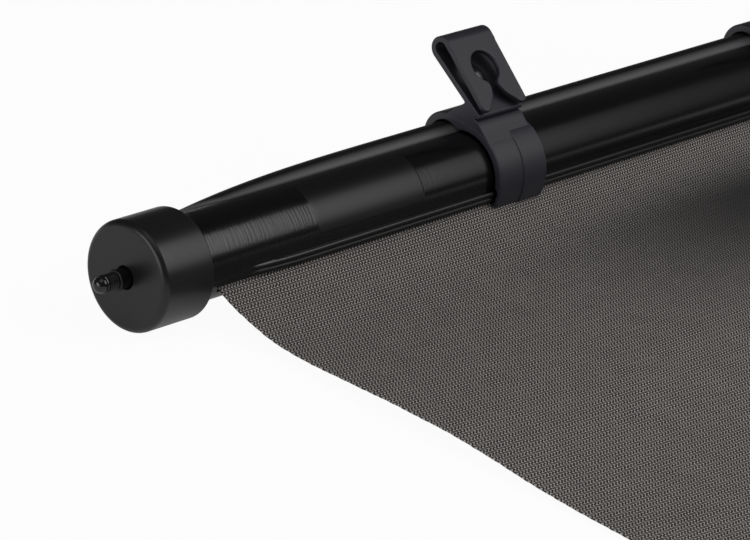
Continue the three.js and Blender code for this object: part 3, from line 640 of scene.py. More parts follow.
@dataclass(frozen=True)
class KnittedMesh(Finish):
    """Warp-knitted polyester mesh: zigzag wales down the cloth, with a small hole in each
    stitch through which the pale table shows. The stitches are drawn as coarse as they need to
    be to show. Where the cloth stands off the table, painted shade darkens the holes.
    Lengths are in mm."""

    hole: str = "#aaa4a0"
    # Painted shade: the holes take this colour where the cloth stands off the table and its shadow falls
    # under it.
    shade_colour: str = "#1d1c1d"
    wale: float = 1.0
    course: float = 0.85
    zigzag: float = 0.42
    wale_share: float = 1.35
    course_share: float = 0.65
    hole_heights: tuple[float, float] = (0.2, -1.2)
    wander: tuple[float, float] = (5.0, 2.4)
    uneven: tuple[float, float] = (7.0, 0.25)
    depth: float = 0.06
    # Where the painted shade falls: down the cloth from the slot and across it, in mm.
    shade_down: tuple[float, float] = (10.0, 30.0)
    shade_up: tuple[float, float] = (100.0, 34.0)
    shade_across: tuple[float, float] = (85.0, 200.0)
    shade_range: tuple[float, float] = (0.1, 0.95)

    def pattern(self, add: Adder) -> dict[str, Socket]:
        """With u across the cloth and v down it, in stitches, the height is
        1.35 cos(2 pi (u + zigzag sin(pi v))) + 0.65 cos(2 pi v), and the holes are its low
        places. Two noises make the wales wander and the heights uneven. Where the cloth stands
        off the table, painted shade then darkens the holes."""
        flat = add("UVMap", uv_map="cloth")
        parts = add("SeparateXYZ", {"Vector": flat}).node.outputs
        across = add("Math", {0: parts["X"], 1: FULL_TURN / (self.wale * MM)}, operation="MULTIPLY")
        down = add("Math", {0: parts["Y"], 1: FULL_TURN / (self.course * MM)}, operation="MULTIPLY")
        noises = []
        for (size, swing), detail in ((self.wander, 2.0), (self.uneven, 3.0)):
            noise = add("TexNoise", {"Vector": flat, "Scale": 1 / (size * MM), "Detail": detail})
            noises.append(add("MapRange", {"Value": noise, "To Min": -swing, "To Max": swing}))
        wander, uneven = noises
        across = add("Math", {0: across, 1: wander}, operation="ADD")
        half_down = add("Math", {0: down, 1: 0.5}, operation="MULTIPLY")
        swing = add("Math", {0: half_down}, operation="SINE")
        swing = add("Math", {0: swing, 1: self.zigzag * FULL_TURN}, operation="MULTIPLY")
        wales = add("Math", {0: across, 1: swing}, operation="ADD")
        wales = add("Math", {0: wales}, operation="COSINE")
        wales = add("Math", {0: wales, 1: self.wale_share}, operation="MULTIPLY")
        courses = add("Math", {0: down}, operation="COSINE")
        courses = add("Math", {0: courses, 1: self.course_share}, operation="MULTIPLY")
        stitch = add("Math", {0: wales, 1: courses}, operation="ADD")
        height = add("Math", {0: stitch, 1: uneven}, operation="ADD")
        top, bottom = self.hole_heights
        holes = {"Value": height, "From Min": top, "From Max": bottom}
        holes = add("MapRange", holes, interpolation_type="SMOOTHSTEP")
        tones = {0: holes, 6: linear(self.colour), 7: linear(self.hole)}
        # Painted shade: the holes are darkened where the cloth is lifted off the table.
        tones = {
            0: self.painted_shade(add, parts),
            6: add("Mix", tones, output=2, data_type="RGBA"),
            7: linear(self.shade_colour),
        }
        return {
            "Base Color": add("Mix", tones, output=2, data_type="RGBA"),
            "Normal": add("Bump", {"Height": height, "Distance": self.depth * MM, "Strength": 1.0}),
        }

    def painted_shade(self, add: Adder, parts: dict[str, Socket]) -> Socket:
        """How much painted shade darkens the holes. It stands in for the shadow under the cloth,
        which hangs free of the white table a little way out of the slot, most of all in its middle."""
        steps = (("Y", self.shade_down), ("Y", self.shade_up), ("X", self.shade_across))
        out, back, inward = (
            add("MapRange", {"Value": parts[axis], "From Min": start * MM, "From Max": end * MM},
                interpolation_type="SMOOTHSTEP")
            for axis, (start, end) in steps
        )
        low, high = self.shade_range
        inward = add("MapRange", {"Value": inward, "To Min": low, "To Max": high})
        out = add("Math", {0: out, 1: back}, operation="MULTIPLY")
        return add("Math", {0: out, 1: inward}, operation="MULTIPLY")


GLOSS_TUBE = PaintedTube("gloss paint on ground extrusion", "#060607", 0.22)
CLEAR_FILM = LabelFilm("matt clear film over black", "#09090a", 0.36)
CAP_PLASTIC = MouldedPlastic("spark-eroded black polypropylene", "#121213", 0.34, 1.45, light="#18181a")
CLIP_PLASTIC = MouldedPlastic("satin nylon, dark grey", "#25252c", 0.42, light="#2d2d36")
DOME_PLASTIC = MouldedPlastic("polished stud of dark nylon", "#17171a", 0.14, light="#1c1c20", depth=0.0005)
STEM_PLASTIC = MouldedPlastic("black acetal", "#080809", 0.45, 1.4, light="#0d0d0e")
TIP_PLASTIC = MouldedPlastic("polished black acetal", "#101011", 0.12, light="#161617", depth=0.001)
BAR_PLASTIC = MouldedPlastic("gloss paint on bar extrusion", "#09090a", 0.22, light="#0d0d0e", depth=0.001)
INNER_PLASTIC = MouldedPlastic("moulded inner plastic", "#202021", 0.5, light="#29292b")
SPRING_STEEL = DrawnMetal("drawn spring steel", "#9a9a9f", 0.32, metallic=1.0)
MILL_ALUMINIUM = DrawnMetal("mill-finish aluminium", "#c4c6ca", 0.38, metallic=1.0)
MESH = KnittedMesh("warp-knitted polyester mesh", "#2b2828", 0.75)


# Housing


@dataclass
class HousingTube:
    """The slotted tube with its rear rail and double lip, and the bare film on it."""

    rail_start: float = BLIND.cap_length + 2.0
    rail_taper: float = 75.0
    lip_start: float = BLIND.cap_length + 12.0
    lip_taper: float = 22.0
    crease: float = 0.12
    crease_reach: float = 0.6
    hairline: float = 0.04
    film_start: float = 51.5
    film_end: float = 88.0
    film_from: float = 92.5
    film_to: float = 168.0
    film_rise: float = 0.09
    film_sink: float = 0.03
    film_corner: float = 9.0
    film_straight: float = 0.92
    film_fade: tuple[float, float] = (0.02, 0.03)
    # Angles round the section: start, end and step in degrees, finer at the creases and the lips.
    angle_runs: tuple[tuple[float, float, float], ...] = (
        (212.0, 372.0, 3.0), (373.0, 480.0, 1.0), (480.0, 542.0, 2.0), (542.5, 556.0, 0.3),
    )

    @staticmethod
    def bead(angle: Array, centre: float, radius: float, distance: Array) -> Array:
        """The far crossing of a ray at each angle with a round bead whose centre lies at an angle
        and a distance: d cos t + sqrt(r^2 - d^2 sin^2 t), or nothing where the ray misses it."""
        offset = np.radians(angle - centre)
        inside = radius**2 - (distance * np.sin(offset)) ** 2
        reach = distance * np.cos(offset) + np.sqrt(np.maximum(inside, 0.0))
        return np.where((inside > 0) & (np.cos(offset) > 0), reach, 0.0)

    def share(self, x: Array, start: float, taper: float) -> Array:
        """How far x lies along a taper at either end, from 0 at its start to 1 beyond it."""
        inward = np.minimum(x - start, BLIND.length - start - x)
        return np.clip(inward / taper, 0.0, 1.0)

    def outer_radius(self, x: Array, angle: Array, grow: float = 0.0) -> Array:
        """The outside of the tube at each place and angle.

        It is the union of the tube's circle, the rail's and the lips', joined by a smooth
        maximum ln(e^(ka) + e^(kb)) / k that rounds the creases.
        """
        x, angle = np.broadcast_arrays(x, angle)
        rise = 1 - (1 - self.share(x, self.rail_start, self.rail_taper)) ** 3
        distance = BLIND.rail_distance - BLIND.rail_height * (1 - rise)
        rail = self.bead(angle, BLIND.rail_angle, BLIND.rail_radius + grow, distance)
        circle = np.full_like(rail, BLIND.tube_radius + grow)
        radius = self.smooth_maximum(circle, rail)
        lip_rise = 1 - (1 - self.share(x, self.lip_start, self.lip_taper)) ** 2
        drop = (BLIND.lip_radius + BLIND.lip_rise) * (1 - lip_rise)
        for centre in BLIND.lip_angles:
            distance = BLIND.tube_radius + BLIND.lip_rise - drop
            lip = self.bead(angle, centre, BLIND.lip_radius + grow, distance)
            radius = self.smooth_maximum(radius, lip)
        return radius

    def smooth_maximum(self, a: Array, b: Array) -> Array:
        """The larger of two radii, with the crease between them rounded."""
        high, low = np.maximum(a, b), np.minimum(a, b)
        rounding = self.crease * np.log1p(np.exp((low - high) / self.crease))
        return high + rounding * np.exp(-((high - low) / self.crease_reach))

    def angles(self, margin: Array) -> Array:
        """Angles round the section from one side of the slot to the other.

        Args:
            margin: half the slot's angle at each station, in degrees.
        """
        fixed = np.concatenate([np.arange(*run) for run in self.angle_runs])
        t = np.linspace(0.0, 1.0, 4)[None, :-1]
        slot = BLIND.slot_angle
        first = (slot + margin)[:, None] * (1 - t) + fixed[0] * t
        last = fixed[-1] * (1 - t[:, ::-1]) + (slot + 360 - margin)[:, None] * t[:, ::-1]
        last = np.concatenate([last[:, :-1], (slot + 360 - margin)[:, None]], axis=1)
        middle = np.broadcast_to(fixed, (len(margin), len(fixed)))
        return np.concatenate([first, middle, last], axis=1)

    def stations(self) -> Array:
        """Places along the tube, closer where the rail and lips rise."""
        ramp = BLIND.cap_length + np.linspace(0.0, 1.0, 46) ** 1.3 * (self.rail_taper + 4)
        left = np.concatenate([[BLIND.cap_wall + BLIND.gap], ramp])
        slot = BLIND.cloth_start + np.array([-1.2, -0.9, -0.6, -0.35])
        left = np.unique(np.concatenate([left, slot]))
        middle = np.linspace(left[-1], BLIND.length / 2, 8)[1:]
        half = np.concatenate([left, middle])
        return np.concatenate([half, (BLIND.length - half)[::-1][1:]])

    def shell(self) -> Shell:
        """The tube as a closed section with a slot, carried along X. Beyond the cloth's edges
        the slot closes to a hairline."""
        x = self.stations()
        edge = BLIND.cloth_start - BLIND.slide_gap
        inward = np.minimum(x, BLIND.length - x)
        half = np.where(inward >= edge - 1e-6, BLIND.slot_width / 2, self.hairline)
        outer_margin = np.degrees(np.arcsin(half / BLIND.tube_radius))
        bore = BLIND.tube_radius - BLIND.tube_wall
        inner_margin = np.degrees(np.arcsin(half / bore))
        outer = self.angles(outer_margin)
        inner = self.angles(inner_margin)[:, ::-1]
        radius = self.outer_radius(x[:, None], outer)
        outside = polar(radius, outer)
        inside = polar(np.full_like(inner, bore), inner)
        return lofted(along_x(x, np.concatenate([outside, inside], axis=1)))

    def film(self) -> Shell:
        """The film: a patch of the tube's circle, thinner towards its rounded edges."""
        length = self.film_end - self.film_start
        x = self.film_start + length * smooth_step(np.linspace(0, 1, 60))
        u = np.abs(2 * (x - self.film_start) / length - 1)
        spread = (self.film_to - self.film_from) / 2
        round_off = np.maximum(0, (u - self.film_straight) / (1 - self.film_straight))
        corner = self.film_corner * (1 - np.sqrt(np.clip(1 - round_off**2, 0, 1)))
        t = np.linspace(-1, 1, 90)[None, :]
        angle = (self.film_from + self.film_to) / 2 + (spread - corner)[:, None] * t
        fade_x, fade_t = self.film_fade
        fade = np.minimum((1 - np.abs(t)) / fade_t, ((1 - u) / fade_x)[:, None])
        top = BLIND.tube_radius + self.film_rise * smooth_step(fade)
        outside = polar(top, angle)
        inside = polar(np.full_like(top, BLIND.tube_radius - self.film_sink), angle)[:, ::-1]
        return lofted(along_x(x, np.concatenate([outside, inside], axis=1)))

    def build(self) -> None:
        """Makes the tube and the film."""
        slot = "gloss_black"
        as_piece("slotted_tube", self.shell(), Body.HOUSING, slot, GLOSS_TUBE, ["housing_tube"], sharp=50)
        as_piece("label_film", self.film(), Body.HOUSING, slot, CLEAR_FILM, sharp=70)


@dataclass
class EndCap:
    """A moulded cup over the tube's end, with the button's guide or the arbor's boss inside."""

    end: End
    fillet: float = 1.7
    rim_chamfer: float = 0.4
    hole: float = 2.6
    hole_chamfer: float = 0.25
    guide_bore: float = 4.5
    guide_wall: float = 1.6
    guide_depth: float = 8.5
    boss_radius: float = 4.4
    boss_length: float = 5.5
    arbor_bore: float = 1.8

    def outside(self) -> Array:
        """The cap's face, rounded rim and side, as places along X and radii."""
        corner = arc((self.fillet, BLIND.cap_radius - self.fillet), self.fillet, 180, 90, 12)
        lip = arc(
            (BLIND.cap_length - self.rim_chamfer, BLIND.cap_radius - self.rim_chamfer),
            self.rim_chamfer, 90, 0, 6,
        )
        return np.concatenate([corner, lip])

    def shell(self) -> Shell:
        """The cap turned about the tube's axis."""
        sleeve = BLIND.tube_radius + BLIND.gap
        wall = BLIND.cap_wall
        if self.end is End.LEFT:
            outer, bevel = self.guide_bore + self.guide_wall, self.hole_chamfer
            face, deep = self.hole, wall + self.guide_depth
            inside = [[wall, sleeve], [wall, outer], [deep, outer], [deep, self.guide_bore],
                      [wall, self.guide_bore], [wall, face], [bevel, face], [0.0, face + bevel]]
        else:
            deep, bore = wall + self.boss_length, self.arbor_bore
            inside = [[wall, sleeve], [wall, self.boss_radius], [deep, self.boss_radius],
                      [deep, bore], [wall, bore], [wall, 0.0], [0.0, 0.0]]
        profile = np.concatenate([self.outside(), [[BLIND.cap_length, sleeve]], inside])
        shell = turned(profile[::-1], 128)
        return shell if self.end is End.LEFT else shell.mirrored()

    def build(self) -> None:
        """Makes the cap."""
        side = self.end.value
        cup = self.shell()
        as_piece(f"{side}_cap_cup", cup, Body.HOUSING, "satin_black", CAP_PLASTIC, [f"{side}_end_cap"])


@dataclass
class ReleaseButton:
    """The threaded stem and its polished domed tip."""

    reach: float = 9.0
    tip_length: float = 2.9
    tip_radius: float = 1.95
    thread_length: float = 3.0
    thread_radius: float = 2.05
    thread_pitch: float = 0.75
    thread_depth: float = 0.3
    shank_radius: float = 2.3
    collar_radius: float = 2.5
    collar_width: float = 0.75
    collar_chamfer: float = 0.15
    collar_slope: float = 0.2
    flange_radius: float = 4.2
    flange_width: float = 1.2
    inner_end: float = 12.7
    skirt_rise: float = 0.15
    skirt_chamfer: float = 0.1
    skirt_width: float = 0.55

    def stem(self) -> Shell:
        """The stem, whose ridges follow a cosine of its place along X."""
        start = -self.reach + self.tip_length
        shank = start + self.thread_length
        x = np.linspace(start, shank, 49)
        wave = np.cos(FULL_TURN * (x - start) / self.thread_pitch)
        ridges = self.thread_radius - self.thread_depth * (1 + wave) / 2
        flange = BLIND.cap_wall + BLIND.gap
        bevel, collar, back = self.collar_chamfer, self.collar_radius, shank + self.collar_width
        rest = [[shank, collar - bevel], [shank + bevel, collar], [back - self.collar_slope, collar],
                [back, self.shank_radius], [flange, self.shank_radius], [flange, self.flange_radius],
                [flange + self.flange_width, self.flange_radius],
                [flange + self.flange_width, self.shank_radius],
                [self.inner_end, self.shank_radius], [self.inner_end, 0.0], [start, 0.0]]
        profile = np.concatenate([np.stack([x, ridges], axis=1), rest])
        return turned(profile[::-1], 64)

    def tip(self) -> Shell:
        """The tip: half a ball, a short side and a thin skirt."""
        start = -self.reach
        back = start + self.tip_length
        dome = arc((start + self.tip_radius, 0.0), self.tip_radius, 180, 90, 20)
        skirt, bevel, front = self.tip_radius + self.skirt_rise, self.skirt_chamfer, back - self.skirt_width
        rest = [[front, self.tip_radius], [front + bevel, skirt], [back - bevel, skirt],
                [back, skirt - bevel], [back, 0.0]]
        return turned(np.concatenate([dome, rest])[::-1], 64)

    def build(self) -> None:
        """Makes the stem and the tip."""
        stem, tip = self.stem(), self.tip()
        as_piece("ridged_stem", stem, Body.BUTTON, "satin_black", STEM_PLASTIC, ["button_stem"], sharp=60)
        as_piece("domed_tip", tip, Body.BUTTON, "gloss_black", TIP_PLASTIC, ["button_tip"], sharp=50)


# Cloth


@dataclass
class Cloth:
    """The mesh cloth, from the roll through the slot and over the table to its hem."""

    wave_drop: float = 6.0
    landing: float = 150.0
    rise: float = 60.0
    ramp: float = 18.0
    lift: float = 0.1
    hem_lead: float = 4.0
    hem_entry: tuple[float, float] = (0.7, 0.05)
    hem_opening: float = 22.0
    bar_width: float = 14.0
    rod_radius: float = 1.2
    travel: float = 357.0
    roll_radius: float = 7.2
    turns: float = 1.9
    wound_start: float = 6.05
    wound_pitch: float = 0.44
    wound_half: float = 0.19
    wound_inset: float = 4.0
    wave_height: float = 0.35
    # The waves rise over the second length after the first, from the roll and from the hem.
    waves_from: tuple[float, float] = (22.0, 45.0)
    waves_to: tuple[float, float] = (45.0, 40.0)
    # Each wander of the cut edge: its size in mm, its rate per mm and its phase.
    frays: tuple[tuple[float, float, float], ...] = ((0.07, 2.1, 0.7), (0.05, 1.3, 0.0), (0.04, 0.4, 2.0))
    fray_reach: float = 0.9
    rows: int = 330
    columns: int = 130
    wave: Array = field(default_factory=lambda: np.array(
        [[0.023, 0.283], [0.067, 0.617], [0.133, 0.933], [0.22, 1.0], [0.38, 0.933], [0.5, 0.95]]
    ))

    def path(self) -> Array:
        """The cloth's middle line in the Y-Z plane, from the roll to the end of its hem."""
        bore = BLIND.tube_radius - BLIND.tube_wall
        slot = BLIND.slot_angle
        inside = polar(bore - BLIND.tube_wall / 2, slot)
        outside = polar(BLIND.tube_radius + BLIND.tube_wall / 2, slot)
        bend = math.degrees(math.acos(self.roll_radius / np.linalg.norm(inside)))
        roll = polar(self.roll_radius, slot + bend)
        table = -BLIND.cap_radius + BLIND.cloth_thickness / 2 + self.lift
        entry = np.array([BLIND.bar_y + self.bar_width / 2 + self.hem_lead, BLIND.bar_z])
        reach, drop = self.wave.T
        low = outside[1] - self.wave_drop
        soft = np.stack([outside[0] - reach * self.landing, outside[1] - drop * self.wave_drop], axis=1)
        hang = catmull_rom(np.concatenate([
            [outside],
            soft,
            [[outside[0] - self.landing * 2 / 3, (low + 2 * table) / 3],
             [outside[0] - self.landing * 5 / 6, table + 3 * self.lift],
             [outside[0] - self.landing, table],
             [entry[0] + self.rise, table],
             [entry[0] + self.ramp, table + 2 * self.lift],
             entry],
        ]), 600)
        hem_radius = self.rod_radius + BLIND.gap + BLIND.cloth_thickness / 2
        hem = arc((BLIND.bar_y, BLIND.bar_z), hem_radius, self.hem_opening, 360 - self.hem_opening, 30)
        lead = [[BLIND.bar_y + hem_radius + self.hem_entry[0], BLIND.bar_z + self.hem_entry[1]]]
        return np.concatenate([[roll, inside], hang, lead, hem])

    @staticmethod
    def skins(
        x: Array, path: Array, along: Array, half: float, lift: Array | float = 0.0
    ) -> tuple[Shell, Array]:
        """Two skins either side of a middle line, carried along X.

        The point at (x, s) lies on the path at s, half a thickness out along its normal, and
        lifted by the given amount.

        Args:
            x: places along the blind, as (columns, rows) or (columns, 1).
            path: the middle line's points, one per row.
            along: each point's distance along the line.
            half: half the thickness.
            lift: how much each point is raised.

        Returns:
            The surface, and each point's place on the flat cloth in metres.
        """
        normal = path_normals(path)
        x = x + 0 * along
        flat = np.stack([x * MM, along * MM + 0 * x], axis=-1)
        skins = []
        for side, order in ((half, slice(None)), (-half, slice(None, None, -1))):
            y, z = (path + side * normal).T
            points = np.stack([x, y + 0 * x, z + lift + 0 * x], axis=-1)
            skins.append(np.concatenate([points, flat], axis=-1)[:, order])
        sheet = np.concatenate(skins, axis=1)
        return lofted(np.ascontiguousarray(sheet[..., :3])), sheet[..., 3:].reshape(-1, 2)

    def shell(self) -> tuple[Shell, Array, float]:
        """The cloth, with soft waves that die out at the slot and the hem. Its side edges wander
        by a few tenths of a millimetre, as cut mesh does.

        Returns:
            The surface, each point's place on the flat cloth in metres, and its length in mm.
        """
        path, along = evenly(self.path(), self.rows)
        length = along[-1]
        start, end = BLIND.cloth_start, BLIND.length - BLIND.cloth_start
        s, t = along[None, :], np.linspace(0.0, 1.0, self.columns)[:, None]
        fray = sum(size * np.sin(s * rate + phase) for size, rate, phase in self.frays)
        edge = np.exp(-np.minimum(t, 1 - t) * self.columns * self.fray_reach)
        x = start + (end - start) * t + fray * edge * np.where(t < 0.5, 1.0, -1.0)
        (near, rise), (far, fall) = self.waves_from, self.waves_to
        window = smooth_step((s - near) / rise) * smooth_step((length - far - s) / fall)
        roll = np.sin(x / 31 + s / 70) * 0.5 + np.sin(x / 57 - s / 43 + 1.3) * 0.5
        lift = self.wave_height * window * (1 + roll)
        return *self.skins(x, path, along, BLIND.cloth_thickness / 2, lift), length

    def wound(self) -> tuple[Shell, Array, float]:
        """The turns left on the roller: a spiral r = r0 + p a, with its two skins."""
        angle = np.linspace(0, self.turns * 360, 150)
        path = polar(self.wound_start + self.wound_pitch * angle / 360, angle)
        along = np.concatenate([[0], np.cumsum(np.linalg.norm(np.diff(path, axis=0), axis=1))])
        start = BLIND.cloth_start + self.wound_inset
        x = np.linspace(start, BLIND.length - start, 12)[:, None]
        return *self.skins(x, path, along, self.wound_half), along[-1]

    @staticmethod
    def sheet(name: str, shell: Shell, flat: Array, body: Body, node: str) -> bpy.types.Object:
        """Makes a cloth piece with its flat coordinates as a UV map.

        Args:
            name: the piece's name.
            shell: its surface.
            flat: each point's place on the flat cloth, in metres.
            body: the body that it rides on.
            node: the CAD node that it stands for.
        """
        mesh = bpy.data.meshes.new(name)
        mesh.from_pydata(BLIND.placed(shell.points), [], [face[::-1] for face in shell.faces])
        corners = np.empty(len(mesh.loops), np.int32)
        mesh.loops.foreach_get("vertex_index", corners)
        layer = mesh.uv_layers.new(name="cloth")
        layer.data.foreach_set("uv", flat[corners].astype(np.float32).ravel())
        return declared(mesh, body, "mesh_cloth", MESH, [node], sharp=60)

    def build(self) -> None:
        """Makes the cloth and the roll."""
        shell, flat, length = self.shell()
        cloth = self.sheet("mesh_cloth", shell, flat, Body.HOUSING, "shade_cloth")
        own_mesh(cloth)
        shell, flat, wound = self.wound()
        roll = self.sheet("wound_mesh", shell, flat, Body.ROLLER, "wound_cloth")
        log.info("cloth %.1f mm long, roll %.1f mm", length, wound)


# Pull bar


@dataclass
class PullBar:
    """The bar at the cloth's hem, its two caps and its finger tab."""

    width: float = 14.0
    height: float = 7.0
    corner: float = 2.4
    channel: float = 2.5
    mouth: float = 0.5
    mouth_radius: float = 0.35
    end_edge: float = 0.15
    cap_wall: float = 1.3
    cap_edge: float = 0.4
    tongue_radius: float = 1.2
    tongue_reach: float = 2.9
    tongue_edge: float = 0.1
    tab_width: float = 42.0
    tab_reach: float = 15.0
    tab_thickness: float = 2.6
    tab_margin: float = 2.0
    tab_edge: float = 0.5
    ridges: int = 4
    ridge_share: float = 0.7
    ridge_size: tuple[float, float] = (1.0, 0.49)
    ridge_sink: float = 0.4
    ridge_rise: float = 0.5
    ridge_edge: float = 0.25

    def bar(self) -> Shell:
        """A rounded bar with a round channel and a slit for the hem."""
        body = rounded_rectangle(self.width, self.height, self.corner)
        start = math.degrees(math.asin(self.mouth / self.channel))
        channel = arc((0, 0), self.channel, 360 - start, start, 40)
        y = self.width / 2
        outline = np.concatenate([[[y, self.mouth]], body, [[y, -self.mouth]], channel])
        outline = softened(outline, self.mouth_radius) + (BLIND.bar_y, BLIND.bar_z)
        return slab(outline, BLIND.bar_start, BLIND.length - BLIND.bar_start, self.end_edge)

    def cap(self) -> Shell:
        """A flat rounded plate with a tongue that enters the bar's channel."""
        centre = (BLIND.bar_y, BLIND.bar_z)
        width = self.width + 2 * (BLIND.gap + self.cap_wall)
        outline = rounded_rectangle(width, self.height, self.corner) + centre
        start = BLIND.bar_start - BLIND.gap - self.cap_wall
        plate = slab(outline, start, start + self.cap_wall, self.cap_edge)
        points = 24
        tongue = arc(centre, self.tongue_radius, 0, 360 - 360 / points, points)
        end = BLIND.bar_start + self.tongue_reach
        return combined(plate, slab(tongue, start + self.cap_wall / 2, end, self.tongue_edge))

    def tab(self) -> Shell:
        """A rounded finger plate with low ribs across it, laid flat on the bar's front."""
        half, reach = self.tab_width / 2, self.tab_reach
        corner = reach / 2.5
        right = arc((half - corner, -reach + corner), corner, 0, -90, 12)
        left = arc((-half + corner, -reach + corner), corner, -90, -180, 12)
        outline = np.concatenate([[[-half, 0.0], [half, 0.0]], right, left])[::-1]
        plate = slab(outline, -self.tab_thickness / 2, self.tab_thickness / 2, self.tab_edge)
        pitch = (reach - self.tab_margin) / (self.ridges + 1)
        low, high = self.tab_thickness / 2 - self.ridge_sink, self.tab_thickness / 2 + self.ridge_rise
        rib = rounded_rectangle(self.ridge_share * self.tab_width, *self.ridge_size)
        places = [(0, -(i + 1.5) * pitch) for i in range(self.ridges)]
        laid = combined(plate, *(slab(rib + place, low, high, self.ridge_edge) for place in places))
        basis = [[0, 0, 1], [1, 0, 0], [0, 1, 0]]
        near = BLIND.bar_y - self.width / 2
        return laid.moved(basis, (BLIND.length / 2, near, BLIND.bar_z))

    def build(self) -> None:
        """Makes the bar, its caps and its tab."""
        cap = self.cap()
        for name, shell, slot, finish, node in (
            ("hem_bar", self.bar(), "gloss_black", BAR_PLASTIC, "pull_bar"),
            ("left_bar_plug", cap, "satin_black", CAP_PLASTIC, "left_bar_cap"),
            ("right_bar_plug", cap.mirrored(), "satin_black", CAP_PLASTIC, "right_bar_cap"),
            ("finger_tab", self.tab(), "satin_black", CAP_PLASTIC, "pull_tab"),
        ):
            as_piece(name, shell, Body.BAR, slot, finish, [node])


# Hanger clips


@dataclass
class HangerClip:
    """A band that snaps round the tube, and a hook folded over from the same moulding."""

    end: End
    place: float = 112.4
    width: float = 16.6
    wall: float = 2.1
    step: float = 0.3
    pad_start: float = 100.0
    pad_ease: float = 22.0
    pad_sink: float = 0.03
    pad_depth: float = 0.9
    pad_inset: float = 0.02
    pad_edge: float = 0.22
    jaw_front: float = 201.0
    jaw_rear: float = -12.0
    hook_width: float = 15.9
    hook_wall: float = 1.45
    hook_inset: float = 0.03
    hook_edge: float = 0.24
    hook_corner: float = 0.45
    hook_gap: float = 0.5
    toe: float = 5.2
    front_stub: float = 2.0
    fold_radius: float = 3.1
    fold: tuple[float, float] = (11.7, 28.3)
    slope: float = 42.0
    front_length: float = 19.2
    root: tuple[float, float] = (2.0, 17.8)
    hole_radius: float = 4.2
    hole_drop: float = 8.0
    hole_open: float = 20.0
    hole_blend: float = 15.0
    neck_half: float = 1.4
    neck_length: float = 1.25
    mouth_half: float = 4.2
    lobe_radius: float = 1.6
    lobe_tips: tuple[float, float] = (1.2, 2.0)
    plate_gap: float = 0.02
    plate_top: float = 0.4
    dome_radius: float = 3.4
    dome_height: float = 0.9
    dome_sink: float = 0.6
    edge: float = 0.4
    shoulder: float = 128.0

    def outer_band(self) -> Array:
        """The band's outside from its rear jaw to its front one: the tube's circle and the
        rail's, both grown by the wall, with the straight lines that touch both."""
        radius = BLIND.tube_radius + BLIND.gap + self.wall
        rail = BLIND.rail_radius + BLIND.gap + self.wall
        spread = math.degrees(math.acos((radius - rail) / BLIND.rail_distance))
        low, high = BLIND.rail_angle - spread, BLIND.rail_angle + spread
        centre = polar(BLIND.rail_distance, BLIND.rail_angle)
        return np.concatenate([
            arc((0, 0), radius, self.jaw_rear, low, 4),
            arc(centre, rail, low, high, 40)[1:],
            arc((0, 0), radius, high, self.jaw_front, 50)[1:],
        ])

    def inner_band(self) -> Array:
        """The band's inside, which follows the tube with a sliding gap."""
        tube = HousingTube()
        # Start, end and step in degrees, finer where the tube's outline turns.
        runs = ((self.jaw_rear, 80.0, 2.0), (80.0, 182.0, 3.0), (182.0, 200.9, 0.9))
        angle = np.concatenate([*(np.arange(*run) for run in runs), [self.jaw_front]])
        middle = np.full_like(angle, BLIND.length / 2)
        radius = tube.outer_radius(middle, angle, BLIND.slide_gap)
        return polar(radius, angle)[::-1]

    def band(self) -> Shell:
        """The band and the thicker part of its right half, which eases in below the hook."""
        start, end = self.place, self.place + self.width
        plain = np.concatenate([evenly(run, 130)[0] for run in (self.outer_band(), self.inner_band())])
        outer = self.outer_band()
        angle = np.degrees(np.arctan2(outer[:, 1], outer[:, 0]))
        angle = np.where(angle < -90, angle + 360, angle)
        below = angle > self.pad_start
        outer = outer[below]
        ease = smooth_step((angle[below] - self.pad_start) / self.pad_ease)[:, None]
        ease = ease * (self.step + self.pad_sink) - self.pad_sink
        unit = outer / np.linalg.norm(outer, axis=1, keepdims=True)
        thick = np.concatenate([outer + unit * ease, outer[::-1] - unit[::-1] * self.pad_depth])
        pad = slab(thick, start + self.width / 2, end - self.pad_inset, self.pad_edge, ladder=True)
        return combined(slab(plain, start, end, self.edge, ladder=True), pad)

    def directions(self) -> tuple[Array, Array, Array, Array, float]:
        """The front plate's downward and outward directions, the back plate's upward and inward
        ones, and the back plate's slope in degrees."""
        root, fold = np.array(self.root), np.array(self.fold)
        to_fold = fold - root
        lean = math.degrees(math.asin(self.fold_radius / np.linalg.norm(to_fold)))
        slope = math.degrees(math.atan2(to_fold[1], to_fold[0])) - lean
        down, out = polar(1, 180 + self.slope), polar(1, 90 + self.slope)
        return down, out, polar(1, slope), polar(1, slope + 90), slope

    def hook(self) -> Shell:
        """The hook's root, back plate and fold, cut off square just below the fold."""
        down, out, up, inward, slope = self.directions()
        root, fold = np.array(self.root), np.array(self.fold)
        toe = root - self.toe * up + self.hook_wall * inward
        end = fold + out * self.fold_radius + down * self.front_stub
        band = polar(BLIND.tube_radius + BLIND.gap + self.wall - 0.02, self.shoulder)
        pull = band + polar(3.6, self.shoulder - 90)
        under = np.linspace(self.shoulder, 60.0, 24)
        middle = np.full(len(under), BLIND.length / 2)
        saddle = HousingTube().outer_radius(middle, under, BLIND.slide_gap + self.hook_gap)
        inner = self.fold_radius - self.hook_wall
        outline = np.concatenate([
            [end, end - out * self.hook_wall],
            arc(fold, inner, 90 + self.slope, slope - 90, 24),
            [toe, toe + (0, -0.9), toe + (1.6, -1.2)],
            self.bezier(toe + (-0.1, -1.85), pull, band, 6),
            polar(saddle, under),
            [root + (5.2, -4.6), root + (1.8, -1.6), root],
            arc(fold, self.fold_radius, slope - 90, 90 + self.slope, 36),
        ])
        outline = softened(outline, self.hook_corner, sharp=(0, 1))
        return slab(outline, self.place + self.hook_inset, self.place + self.hook_width, self.hook_edge)

